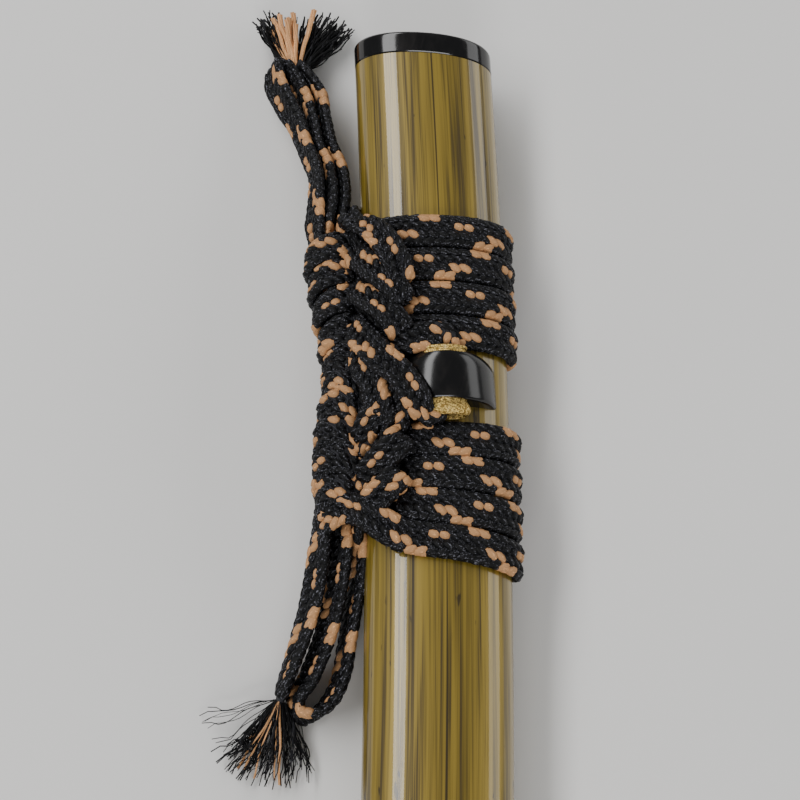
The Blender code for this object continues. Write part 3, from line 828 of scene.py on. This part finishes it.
def knob_pass():
    """From the last upper turn through both eyelets and back over the knob's shoulder."""
    return [
        over(93.8, 133, 1.9, 0.9), over(95.4, 140.5, 3.0, 0.85), over(98.2, 135, 4.6, 0.8),
        over(98.4, 123, 4.6, 0.8), over(97.6, 112, 4.5, 0.8), over(96.4, 102, 4.5, 0.82),
        over(95.6, 94.5, 4.4, 0.84), beside(95.5, 1.0, 32.0, 90, 0.84),
        beside(97.4, 2.0, 31.2, 90, 0.86), beside(100.5, 2.0, 30.8, 90, 0.88),
        beside(106.6, 2.0, 30.75, 90, 0.84), beside(112.0, 1.2, 30.75, 90, 0.76),
        beside(114.8, 0.4, 30.9, 90, 0.70), beside(117.0, -1.0, 31.8, None, 0.68),
        beside(118.2, -2.8, 33.2, None, 0.68), beside(117.4, -4.4, 34.8, None, 0.72),
        beside(114.8, -5.8, 35.8, 84, 0.80), beside(111.6, -7.6, 35.8, 76, 0.86),
        beside(108.0, -10.0, 35.0, 70, 0.88), over(103.8, 123.6, 9.0, 0.88, 0.3),
        over(98.4, 135.0, 8.4, 0.86, 0.4), over(94.2, 145.0, 7.0, 0.84, 0.4),
        over(91.4, 152.0, 5.0, 0.78, 0.2), over(92.2, 157.0, 3.8, 0.72),
        over(96.6, 152, 4.2, 0.72), over(102.4, 139.0, 4.8, 0.74, -0.1),
        over(107.8, 126.9, 5.5, 0.74, -0.2), over(112.9, 119.4, 5.6, 0.74, -0.3),
        over(117.5, 115.9, 5.6, 0.74, -0.3), over(121.6, 118.9, 5.4, 0.74, -0.3),
        over(124.4, 128.0, 4.4, 0.74), over(122.6, 142.0, 3.8, 0.76),
        beside(117.0, -22.0, 17.4, 0, 0.8),
    ]


def lower_knot():
    stops = lower_loop(107.2)
    stops += [beside(110.8, -21.6, 20.6, 20, 0.86), beside(113.2, -22.4, 15.0, -10, 0.86)]
    stops += lower_loop(114.8)
    stops += [beside(118.6, -21.4, 20.6, 20, 0.86), beside(121.0, -22.6, 15.0, -10, 0.86)]
    stops += lower_loop(122.4)
    stops += crossing([(125.0, 148, 5.2), (122.6, 141, 6.2), (119.6, 135, 6.6),
                       (117.0, 130, 6.2)])
    stops += [beside(129.8, -22.0, 17.0, 0, LOOP_WIDTH)]
    stops += lower_loop(130.4)
    stops += crossing([(135.6, 148, 5.0), (134.6, 139, 6.2), (131.6, 127.5, 7.4),
                       (128.2, 118, 7.6), (125.0, 113.5, 6.4)])
    stops += [beside(137.8, -21.8, 17.0, 0, LOOP_WIDTH)]
    stops += lower_loop(138.4)
    stops += crossing([(144.2, 147, 5.0), (142.8, 137, 6.4), (140.2, 126.5, 7.3),
                       (137.4, 119, 7.3), (135.0, 116, 6.0)])
    stops += [beside(149.6, -24.0, 10.0, 280, 0.86), beside(148.6, -28.6, 11.4, 220, 0.86),
              beside(146.8, -30.4, 16.6, 178, 0.86), beside(144.2, -28.0, 22.4, 128, 0.86),
              beside(142.9, -24.8, 24.4, 90, 0.86), over(143.4, 149, 6.6, 0.84, -0.2),
              over(145.6, 137.5, 6.4, 0.84, -0.2), over(148.2, 126.5, 5.0, 0.88, -0.1),
              over(150.0, 117, 3.0, 0.92)]
    return stops


def lower_tail():
    """Down inside the loops, along one run, up the next and out along the frayed one."""
    return [beside(*row) for row in (
        (117.4, -24.0, 15.0, 0, 0.9), (122, -26.6, 16.6, 0), (131, -25.2, 17.0, 0),
        (140, -23.0, 16.4, -8), (149, -21.0, 14.8, -20), (158, -21.2, 12.6, -25),
        (167.3, -22.8, 10.2, -25), (175.9, -24.2, 8.2, -25), (183.1, -25.4, 6.8, -25),
        (189.6, -28.0, 6.0, -20), (193.6, -32.0, 5.6), (194.4, -36.0, 5.5),
        (191.4, -37.4, 5.8, -24), (184.6, -34.0, 6.8, -32), (176.4, -30.8, 8.8, -36),
        (167.8, -28.3, 11.2, -38), (158.4, -26.6, 13.6, -38), (148.3, -25.6, 16.0, -32),
        (140, -27.0, 17.0, 0), (134.6, -29.4, 17.2), (140, -31.0, 17.2, 0),
        (147.2, -31.0, 16.4, -28), (155.3, -32.1, 14.6, -38), (162.8, -33.2, 12.6, -38),
        (173.3, -35.9, 9.6, -32), (182.0, -38.8, 7.4, -22), (188.6, -40.9, 6.2, -15),
        (191.6, -41.6, 5.6, -10),
    )]


def turned_towards(before, after, vector):
    """The vector turned as the direction of travel turns."""
    return before.rotation_difference(after) @ vector


class Route:
    """The cord's middle line as even samples, each with its face's direction and width."""

    def __init__(self, stops, step):
        self.step = step
        self.points = []
        self.widths = []
        marks = []
        self.lay_line(stops, marks)
        count = len(self.points)
        self.ways = [(self.points[min(i + 1, count - 1)] - self.points[max(i - 1, 0)]).normalized()
                     for i in range(count)]
        self.face_samples(stops, marks)

    def lay_line(self, stops, marks):
        """Smooth curve through the stops, sampled at every step of length."""
        points = [stop.point for stop in stops]
        gaps = [(b - a).length for a, b in zip(points, points[1:])]
        slopes = []
        for i in range(len(points)):
            if i == 0:
                slopes.append((points[1] - points[0]) / gaps[0])
            elif i == len(points) - 1:
                slopes.append((points[-1] - points[-2]) / gaps[-1])
            else:
                before = (points[i] - points[i - 1]) / gaps[i - 1]
                after = (points[i + 1] - points[i]) / gaps[i]
                slopes.append((before * gaps[i] + after * gaps[i - 1]) / (gaps[i] + gaps[i - 1]))
        travelled = 0.0
        last = points[0]
        marks.append(0)
        self.points.append(points[0])
        self.widths.append(stops[0].width)
        for i, gap in enumerate(gaps):
            fine = max(4, math.ceil(gap / (self.step * 0.12)))
            for k in range(1, fine + 1):
                t = k / fine
                here = (points[i] * (2 * t ** 3 - 3 * t ** 2 + 1)
                        + slopes[i] * gap * (t ** 3 - 2 * t ** 2 + t)
                        + points[i + 1] * (3 * t ** 2 - 2 * t ** 3)
                        + slopes[i + 1] * gap * (t ** 3 - t ** 2))
                travelled += (here - last).length
                last = here
                if travelled >= self.step * len(self.points):
                    self.points.append(here)
                    ease = t * t * (3 - 2 * t)
                    self.widths.append(blend(stops[i].width, stops[i + 1].width, ease))
            marks.append(len(self.points) - 1)

    def face_samples(self, stops, marks):
        """Face directions: carried along the line and twisted evenly from stop to stop."""
        self.faces = [None] * len(self.points)
        anchors = [(mark, stop.facing) for mark, stop in zip(marks, stops)
                   if stop.facing is not None]
        face = anchors[0][1]
        way = self.ways[0]
        self.faces[0] = (face - way * face.dot(way)).normalized()
        for (start, _), (end, target) in zip(anchors, anchors[1:]):
            if end <= start:
                continue
            carried = [self.faces[start]]
            for i in range(start, end):
                moved = turned_towards(self.ways[i], self.ways[i + 1], carried[-1])
                carried.append(moved.normalized())
            way = self.ways[end]
            wanted = target - way * target.dot(way)
            twist = 0.0
            if wanted.length > 0.2:
                wanted.normalize()
                twist = math.atan2(carried[-1].cross(wanted).dot(way), carried[-1].dot(wanted))
                if twist > math.pi / 2:
                    twist -= math.pi
                elif twist < -math.pi / 2:
                    twist += math.pi
            for i in range(start, end + 1):
                share = (i - start) / (end - start)
                share = share * share * (3 - 2 * share)
                turn = Quaternion(self.ways[i], twist * share)
                self.faces[i] = turn @ carried[i - start]
        final = anchors[-1][0]
        for i in range(final, len(self.points) - 1):
            self.faces[i + 1] = turned_towards(self.ways[i], self.ways[i + 1], self.faces[i])

    def length(self):
        return self.step * (len(self.points) - 1)

    def at(self, distance):
        """Point, direction of travel, face direction and width at a distance along the cord."""
        place_in_list = min(max(distance / self.step, 0.0), len(self.points) - 1.001)
        i = int(place_in_list)
        t = place_in_list - i
        way = self.ways[i].lerp(self.ways[i + 1], t).normalized()
        face = self.faces[i].lerp(self.faces[i + 1], t)
        face = (face - way * face.dot(way)).normalized()
        return (self.points[i].lerp(self.points[i + 1], t), way, face,
                blend(self.widths[i], self.widths[i + 1], t))


def cord_route():
    stops = upper_tail() + upper_knot() + upper_turns() + knob_pass()
    stops += lower_knot() + lower_turns() + lower_tail()
    return Route(stops, ROUTE_STEP)


# ---- braid of the cord -------------------------------------------------------------------
ROWS = 4
ROW_SHIFT = [0.00352, 0.00128, -0.00128, -0.00352]
ROW_LIFT = [0.00036, 0.00056, 0.00056, 0.00036]
ROW_LEAN = [0.80, -0.36, 0.36, -0.80]
ROW_STYLE = [(-28, 1.06, 1.00), (36, 1.08, 1.00), (14, 0.78, 0.92), (31, 1.14, 1.04)]
ROW_PHASE = [4, 6, 2, 8]    # stitches by which each row's accents are moved on
STITCH_BALL_RADIUS = 0.5    # of the ball that is scaled to each stitch's size
STITCH_SIDES, STITCH_RINGS = 8, 5
STITCH_UNEVENNESS = 0.08    # a stitch may be smaller by this share
CORE_SIDES = 20
CORE_SIDE_INSET, CORE_FACE_INSET = 0.0003, 0.00028
GROOVE_DEPTH, GROOVE_WIDTH = 0.42, 0.0008     # along the middle of each face, depth as a share


def thickness_factor(width):
    """A cord pressed narrower gets thicker."""
    return 1 + (1 - width) * 0.5


def core_piece(route):
    """Body of the cord under its stitches, a flat tube along the whole route."""
    bm = bmesh.new()
    rings = []
    for point, way, face, width in zip(route.points, route.ways, route.faces, route.widths):
        across = way.cross(face)
        ring = []
        for k in range(CORE_SIDES):
            outline, _ = oval((CORD_WIDTH / 2 - CORE_SIDE_INSET) * width,
                              (CORD_THICKNESS / 2 - CORE_FACE_INSET) * thickness_factor(width),
                              math.tau * k / CORE_SIDES, FLAT_SQUARENESS)
            groove = 1 - GROOVE_DEPTH * math.exp(-(outline.x / GROOVE_WIDTH) ** 2)
            ring.append(point + across * outline.x + face * outline.z * groove)
        rings.append(ring)
    skin(bm, rings)
    bmesh.ops.recalc_face_normals(bm, faces=bm.faces)
    core = finish_mesh("cord_core", bm, 80, recalculate=False)
    lay = core.data.attributes.new("lay", "FLOAT_VECTOR", "POINT")
    for i, mark in enumerate(lay.data):
        mark.vector = (i // CORE_SIDES * route.step / MM, (i % CORE_SIDES) * 1.1, 0.0)
    return core


def stitch_places(route, settings):
    """Place, turn, size and shade of every stitch: black ones and accent ones."""
    chance = random.Random(settings.seed)
    black, accent = [], []
    count = int(route.length() / settings.stitch_pitch)
    for side in (1, -1):
        for row in range(ROWS):
            tilt, longer, wider = ROW_STYLE[row]
            for i in range(1, count):
                distance = (i + 0.5 * (row % 2)) * settings.stitch_pitch
                point, way, face, width = route.at(distance)
                across = way.cross(face)
                lift = ROW_LIFT[row] * thickness_factor(width)
                normal = (face * side + across * ROW_LEAN[row]).normalized()
                spot = point + across * ROW_SHIFT[row] * width + face * side * lift
                angle = math.radians(tilt + chance.uniform(-6, 6))
                long_axis = way * math.cos(angle) + across * side * math.sin(angle)
                long_axis = (long_axis - normal * long_axis.dot(normal)).normalized()
                turn = Matrix((long_axis.cross(normal) * -1, normal, long_axis)).transposed()
                size = (settings.stitch_width * wider * blend(0.6, 1.0, width),
                        settings.stitch_height * thickness_factor(width)
                        * chance.uniform(0.92, 1.08),
                        settings.stitch_length * longer * chance.uniform(0.94, 1.06))
                group = accent if (i + ROW_PHASE[row]) % settings.accent_every < 2 else black
                group.append((spot, turn.to_euler(), size, chance.uniform(0.0, 1.0)))
    return black, accent


def stitch_tree(name, finish):
    """Geometry Nodes: a small rounded stitch on every point, turned and sized by attributes."""
    tree = bpy.data.node_groups.new(name, "GeometryNodeTree")
    for socket, kind in (("Geometry", "Geometry"), ("Sides", "Int"), ("Rings", "Int"),
                         ("Unevenness", "Float"), ("Seed", "Int")):
        tree.interface.new_socket(socket, in_out="INPUT", socket_type="NodeSocket" + kind)
    tree.interface.new_socket("Geometry", in_out="OUTPUT", socket_type="NodeSocketGeometry")

    def node(kind, settings=None, inputs=None):
        made = tree.nodes.new(kind)
        for key, value in (settings or {}).items():
            setattr(made, key, value)
        for key, value in (inputs or {}).items():
            if isinstance(value, bpy.types.NodeSocket):
                tree.links.new(value, made.inputs[key])
            else:
                made.inputs[key].default_value = value
        return made

    def number(operation, first, second):
        made = node("ShaderNodeMath", {"operation": operation}, {0: first, 1: second})
        return made.outputs[0]

    def vector(operation, inputs, output="Vector"):
        made = node("ShaderNodeVectorMath", {"operation": operation}, inputs)
        return made.outputs[output]

    def stored(name):
        made = node("GeometryNodeInputNamedAttribute", {"data_type": "FLOAT_VECTOR"}, {"Name": name})
        return made.outputs["Attribute"]

    given = node("NodeGroupInput")
    ball = node("GeometryNodeMeshUVSphere", {}, {"Segments": given.outputs["Sides"],
                                                 "Rings": given.outputs["Rings"],
                                                 "Radius": STITCH_BALL_RADIUS})
    marked = node("GeometryNodeStoreNamedAttribute",
                  {"data_type": "FLOAT2", "domain": "CORNER"},
                  {"Geometry": ball.outputs["Mesh"], "Name": "fibre",
                   "Value": ball.outputs["UV Map"]})
    spot = node("GeometryNodeInputPosition").outputs["Position"]
    bare = vector("ABSOLUTE", {0: spot})
    square = vector("MULTIPLY", {0: bare, 1: bare})
    cubes = vector("DOT_PRODUCT", {0: square, 1: bare}, "Value")
    swell = number("DIVIDE", STITCH_BALL_RADIUS, number("POWER", cubes, 1 / 3))
    plump = node("GeometryNodeSetPosition", {}, {"Geometry": marked.outputs["Geometry"],
                                                 "Position": vector("SCALE", {
                                                     0: spot, "Scale": swell})})
    rotation = node("FunctionNodeEulerToRotation", {}, {"Euler": stored("turn")})
    chance = node("FunctionNodeRandomValue", {"data_type": "FLOAT"},
                  {"Min": number("SUBTRACT", 1.0, given.outputs["Unevenness"]), "Max": 1.0,
                   "Seed": given.outputs["Seed"]})
    scale = vector("SCALE", {0: stored("size"), "Scale": chance.outputs["Value"]})
    placed = node("GeometryNodeInstanceOnPoints", {},
                  {"Points": given.outputs["Geometry"], "Instance": plump.outputs["Geometry"],
                   "Rotation": rotation.outputs["Rotation"], "Scale": scale})
    real = node("GeometryNodeRealizeInstances", {}, {"Geometry": placed.outputs["Instances"]})
    smooth = node("GeometryNodeSetShadeSmooth", {}, {"Geometry": real.outputs["Geometry"]})
    coloured = node("GeometryNodeSetMaterial", {}, {"Geometry": smooth.outputs["Geometry"],
                                                    "Material": finish})
    node("NodeGroupOutput", {}, {"Geometry": coloured.outputs["Geometry"]})
    return tree


def stitches_piece(name, places, finish, seed):
    """Stitches at the given places, as one plain mesh."""
    mesh = bpy.data.meshes.new(name + "_points")
    mesh.from_pydata([spot for spot, _, _, _ in places], [], [])
    for attribute, kind, column in (("turn", "FLOAT_VECTOR", 1), ("size", "FLOAT_VECTOR", 2)):
        layer = mesh.attributes.new(attribute, kind, "POINT")
        for item, values in zip(layer.data, places):
            item.vector = values[column]
    shade = mesh.attributes.new("shade", "FLOAT", "POINT")
    for item, values in zip(shade.data, places):
        item.value = values[3]
    carrier = bpy.data.objects.new(name, mesh)
    bpy.context.scene.collection.objects.link(carrier)
    tree = stitch_tree(name + "_tree", finish)
    modifier = carrier.modifiers.new("stitches", "NODES")
    modifier.node_group = tree
    wanted = {"Sides": STITCH_SIDES, "Rings": STITCH_RINGS, "Unevenness": STITCH_UNEVENNESS,
              "Seed": seed}
    for socket in tree.interface.items_tree:
        if socket.item_type == "SOCKET" and socket.name in wanted:
            modifier[socket.identifier] = wanted[socket.name]
    depsgraph = bpy.context.evaluated_depsgraph_get()
    result = bpy.data.meshes.new_from_object(carrier.evaluated_get(depsgraph))
    carrier.modifiers.clear()
    carrier.data = result
    bpy.data.meshes.remove(mesh)
    return carrier


# ---- frayed ends --------------------------------------------------------------------------
THREAD_REST = 0.00025       # a thread's middle is never lower above the floor


def strand_line(root, tip, bend, waves, chance, curl=0.0, count=12):
    """Limp thread from root to tip that bends sideways, waves and may curl at its end."""
    way = tip - root
    across = way.cross(Vector((0, 0, 1))).normalized()
    phase = chance.uniform(0, math.tau)
    points = []
    for i in range(count):
        t = i / (count - 1)
        sway = bend * math.sin(math.pi * t) + waves * t * math.sin(phase + t * 9)
        point = root + way * t + across * sway
        point.z += waves * t * math.cos(phase + t * 8)
        if curl and t > 0.8:
            turn = (t - 0.8) / 0.2 * 3.4
            point += across * curl * (1 - math.cos(turn)) - way.normalized() * curl * math.sin(turn)
        point.z = max(point.z, THREAD_REST)
        points.append(point)
    return points


def fan(bm, root, way, chance, count, reach, angles, heights, thickness, waves, curl, spread):
    """Threads that leave the root within a fan of angles about the direction."""
    across = way.cross(Vector((0, 0, 1))).normalized()
    for _ in range(count):
        angle = math.radians(chance.uniform(*angles))
        length = chance.uniform(*reach)
        direction = way * math.cos(angle) + across * math.sin(angle)
        start = root + across * math.sin(angle) * spread * 1.6
        start.z += chance.uniform(-spread, spread)
        tip = root + direction * length
        tip.z = chance.uniform(*heights)
        line = strand_line(start, tip, chance.uniform(-0.0012, 0.0012), waves, chance, curl)
        radius = chance.uniform(*thickness) / 2
        radii = [radius * (0.85 if i == 0 else 1.0) for i in range(len(line))]
        add_tube(bm, line, radii, 5)


def yarn(bm, start, tip, radius, chance):
    """One accent yarn: several fine plies twisted loosely together."""
    line = strand_line(start, tip, chance.uniform(-0.0006, 0.0006), 0.0003, chance, count=14)
    plies = 5
    for ply in range(plies):
        shifted = []
        for i, point in enumerate(line):
            t = i / (len(line) - 1)
            angle = math.tau * ply / plies + t * 4.0
            open_up = radius * (0.55 + 0.5 * t * t)
            shifted.append(point + Vector((math.cos(angle), 0, math.sin(angle))) * open_up)
            shifted[-1].z = max(shifted[-1].z, radius * 0.5)
        add_tube(bm, shifted, [radius * 0.62] * len(shifted), 6)


def mark_fibre(piece):
    """Coordinates for the fine grain of threads, read from their place on the floor."""
    layer = piece.data.uv_layers.new(name="fibre")
    for loop, item in zip(piece.data.loops, layer.data):
        point = piece.data.vertices[loop.vertex_index].co
        item.uv = (point.x * 220.0, point.y * 40.0)


def thread_piece(name, bm, silk, *nodes):
    piece = finish_mesh(name, bm, 80)
    mark_fibre(piece)
    give(piece, silk)
    place(piece, "fray", *nodes)


def frayed_end(name, node, root, way, fans, yarns, start_shape, silks, chance):
    """Black threads in fans and the accent yarns between them, at one end of the cord."""
    spread, lift, overlap = start_shape
    way = Vector(way).normalized()
    bm = bmesh.new()
    for row in fans:
        fan(bm, root, way, chance, *row)
    thread_piece(name, bm, silks[0], node)
    bm = bmesh.new()
    across = way.cross(Vector((0, 0, 1)))
    for angle, length, height, radius in yarns:
        turned = math.radians(angle)
        tip = root + (way * math.cos(turned) + across * math.sin(turned)) * length
        tip.z = height
        start = root + across * math.sin(turned) * spread + Vector((0, 0, lift))
        yarn(bm, start - way * overlap, tip, radius, chance)
    thread_piece(name + "_accents", bm, silks[1])


# A fan's row: count, reach, angles, heights, thickness, waves, curl and spread at the root.
UPPER_FANS = (
    (95, (0.013, 0.0225), (-44, -22), (0.002, 0.008), (0.0003, 0.0006), 0.0007, 0.0, 0.0022),
    (150, (0.012, 0.0225), (8, 48), (0.001, 0.008), (0.0003, 0.0006), 0.0008, 0.0, 0.0022),
    (40, (0.010, 0.020), (-20, 12), (0.001, 0.006), (0.0003, 0.0005), 0.0006, 0.0, 0.0022),
)
LOWER_FANS = (
    (130, (0.014, 0.0225), (-48, 34), (0.0006, 0.0040), (0.00018, 0.00034), 0.0007, 0.0007,
     0.0014),
    (8, (0.018, 0.0215), (34, 66), (0.0006, 0.0040), (0.00016, 0.00026), 0.0009, 0.0005, 0.0010),
)
# A yarn's row: angle, length, height of its tip and radius.
UPPER_YARNS = (
    (-34, 0.0155, 0.006, 0.00055), (-27, 0.0185, 0.0075, 0.00055), (-21, 0.0180, 0.009, 0.00055),
    (-14, 0.0165, 0.0085, 0.00055), (-9, 0.0190, 0.007, 0.00055), (12, 0.0195, 0.009, 0.00055),
    (-17, 0.0150, 0.010, 0.00055), (-5, 0.0140, 0.009, 0.00055),
)
LOWER_YARNS = (
    (24, 0.0120, 0.0022, 0.00042), (18, 0.0200, 0.0022, 0.00026), (12, 0.0195, 0.0022, 0.00022),
    (4, 0.0205, 0.0022, 0.00016), (-16, 0.0212, 0.0022, 0.00026), (-13, 0.0200, 0.0022, 0.00014),
)


# ---- operators ----------------------------------------------------------------------------
class SCABBARD_OT_body(bpy.types.Operator):
    """Make the lacquered body, the horn mouth ring and the end cap"""
    bl_idname = "scabbard.body"
    bl_label = "Lacquered body"

    def execute(self, context):
        body = body_piece()
        give(body, lacquer_finish(context.scene.scabbard_lacquer), wood_finish())
        place(body, "lacquer", "front_wooden_half", "back_wooden_half")
        ring = mouth_ring_piece()
        give(ring, horn_finish("ring_horn", 0.0))
        place(ring, "horn", "horn_mouth_ring")
        cap = end_cap_piece()
        give(cap, horn_finish("cap_horn", 0.002))
        place(cap, "horn", "horn_end_cap")
        return {"FINISHED"}


class SCABBARD_OT_knob(bpy.types.Operator):
    """Make the domed cord knob and its two gilt eyelets"""
    bl_idname = "scabbard.knob"
    bl_label = "Cord knob and eyelets"

    def execute(self, context):
        knob = knob_piece()
        give(knob, horn_finish("knob_horn", 0.001, 0.13))
        place(knob, "horn", "cord_knob")
        gilt = gilt_finish()
        for name, direction, proud, flare in (("upper_eyelet", 1, 0.0012, 0.0006),
                                              ("lower_eyelet", -1, 0.0042, 0.0012)):
            eyelet = eyelet_piece(name + "_gilt", direction, proud, flare)
            give(eyelet, gilt)
            place(eyelet, "gilt", name)
        return {"FINISHED"}


class SCABBARD_OT_cord(bpy.types.Operator):
    """Lay the cord along its route and braid its stitches"""
    bl_idname = "scabbard.cord"
    bl_label = "Tied cord"

    def execute(self, context):
        settings = context.scene.scabbard_cord
        route = cord_route()
        core = core_piece(route)
        give(core, core_finish(settings))
        place(core, "braid", *CORD_NODES)
        # The black stitches get painted glints 58 times as bright as the dye.
        black_silk = silk_finish("black_silk", settings.black, 0.25, 58.0, 0.00040)
        # The peach stitches' lighter strands, 1.16 times the dye, are partly fibre tone and partly
        # painted sheen.
        peach_silk = silk_finish("peach_silk", settings.peach, 0.58, 1.16, 0.00024)
        black, accent = stitch_places(route, settings)
        half = len(black) // 2
        for number, (name, places, silk) in enumerate((
                ("face_stitches", black[:half], black_silk),
                ("back_stitches", black[half:], black_silk),
                ("accent_stitches", accent, peach_silk))):
            piece = stitches_piece(name, places, silk, settings.seed + number)
            place(piece, "braid")
        route.length()
        context.scene["cord_ends"] = [*route.points[0], *route.points[-1]]
        return {"FINISHED"}


class SCABBARD_OT_tassels(bpy.types.Operator):
    """Make the two frayed ends of the cord"""
    bl_idname = "scabbard.tassels"
    bl_label = "Frayed ends"

    def execute(self, context):
        settings = context.scene.scabbard_cord
        ends = list(context.scene["cord_ends"])
        chance = random.Random(settings.seed + 20)
        # The black threads get painted glints 8 times as bright as the dye; the peach threads'
        # lighter strands are partly fibre tone and partly painted sheen.
        silks = (silk_finish("black_thread", settings.black, 0.6, 8.0, 0.00005),
                 silk_finish("peach_thread", settings.peach, 0.72, 1.1, 0.00005))
        frayed_end("upper_fray", "upper_tassel", Vector(ends[:3]), (-0.02, 1.0, 0.0),
                   UPPER_FANS, UPPER_YARNS, (0.003, 0.0018, 0.0015), silks, chance)
        frayed_end("lower_fray", "lower_tassel", Vector(ends[3:]), (-0.20, -1.0, 0.0),
                   LOWER_FANS, LOWER_YARNS, (0.0, 0.001, 0.0), silks, chance)
        return {"FINISHED"}


class SCABBARD_OT_stage(bpy.types.Operator):
    """Set up the floor, the lights and the camera"""
    bl_idname = "scabbard.stage"
    bl_label = "Stage"

    def execute(self, context):
        settings = context.scene.scabbard_stage
        bm = bmesh.new()
        bmesh.ops.create_grid(bm, x_segments=8, y_segments=8, size=3.0)
        floor = finish_mesh("studio_floor", bm, recalculate=False)
        give(floor, floor_finish(settings))
        target = centre(0.10835)
        target.x = MOUTH.x + 0.00117
        target.z = 0.015
        aim_camera(settings, target)
        set_lights(target)
        return {"FINISHED"}


def aim_camera(settings, target):
    a, e = settings.azimuth, settings.elevation
    look = Vector((math.sin(a) * math.cos(e), math.cos(a) * math.cos(e), -math.sin(e)))
    data = bpy.data.cameras.new("camera")
    data.lens = settings.focal
    data.sensor_width = 36
    data.clip_start = 0.01
    camera = bpy.data.objects.new("camera", data)
    camera.location = target - look * settings.distance
    camera.rotation_euler = look.to_track_quat("-Z", "Y").to_euler()
    bpy.context.scene.collection.objects.link(camera)
    bpy.context.scene.camera = camera


def add_softbox(name, target, direction, distance, size, power):
    """Area light that faces the target, its long side along the scabbard."""
    data = bpy.data.lights.new(name, "AREA")
    data.shape = "RECTANGLE"
    data.size, data.size_y = size
    data.energy = power
    light = bpy.data.objects.new(name, data)
    away = Vector(direction).normalized()
    along = Vector((0, 1, 0)) - away * away.y
    along.normalize()
    light.location = target + away * distance
    light.rotation_euler = Matrix((along.cross(away), along, away)).transposed().to_euler()
    bpy.context.scene.collection.objects.link(light)


# A softbox's row: name, direction from the target, distance, size and power in watts.
SOFTBOXES = (
    ("left_softbox", (-0.60, 0.34, 0.80), 2.2, (0.60, 4.0), 56),
    ("right_softbox", (0.94, 0.30, 0.42), 2.2, (0.90, 4.0), 26),
    ("front_fill", (0.05, -0.85, 0.53), 1.8, (0.9, 0.6), 13),
)
ROOM_COLOUR, ROOM_STRENGTH = (0.95, 0.97, 1.0, 1.0), 0.20


def set_lights(target):
    """A softbox along each side, a fill from the tip's side and a dim room."""
    for name, direction, distance, size, power in SOFTBOXES:
        add_softbox(name, target, direction, distance, size, power)
    world = bpy.data.worlds.new("dim_room")
    world.use_nodes = True
    room = world.node_tree.nodes["Background"]
    room.inputs["Color"].default_value = ROOM_COLOUR
    room.inputs["Strength"].default_value = ROOM_STRENGTH
    bpy.context.scene.world = world


class SCABBARD_PT_panel(bpy.types.Panel):
    """Sidebar panel that lists the scabbard's pieces"""
    bl_idname = "SCABBARD_PT_panel"
    bl_label = "Scabbard"
    bl_space_type = "VIEW_3D"
    bl_region_type = "UI"
    bl_category = "Scabbard"

    def draw(self, context):
        for name, settings in SETTINGS.items():
            box = self.layout.box()
            for prop in settings.__annotations__:
                box.prop(getattr(context.scene, name), prop)
        for operator in OPERATORS:
            self.layout.operator(operator.bl_idname)


SETTINGS = {"scabbard_lacquer": LacquerSettings, "scabbard_cord": CordSettings,
            "scabbard_stage": StageSettings}
OPERATORS = (SCABBARD_OT_stage, SCABBARD_OT_cord, SCABBARD_OT_tassels, SCABBARD_OT_body,
             SCABBARD_OT_knob)


def register():
    for name, settings in SETTINGS.items():
        bpy.utils.register_class(settings)
        setattr(bpy.types.Scene, name, PointerProperty(type=settings))
    for shown in (*OPERATORS, SCABBARD_PT_panel):
        bpy.utils.register_class(shown)


def unregister():
    for shown in (SCABBARD_PT_panel, *reversed(OPERATORS)):
        bpy.utils.unregister_class(shown)
    for name, settings in SETTINGS.items():
        delattr(bpy.types.Scene, name)
        bpy.utils.unregister_class(settings)


def main():
    register()
    bpy.ops.scabbard.stage()
    bpy.ops.scabbard.cord()
    bpy.ops.scabbard.tassels()
    bpy.ops.scabbard.body()
    bpy.ops.scabbard.knob()


if __name__ == "__main__":
    main()
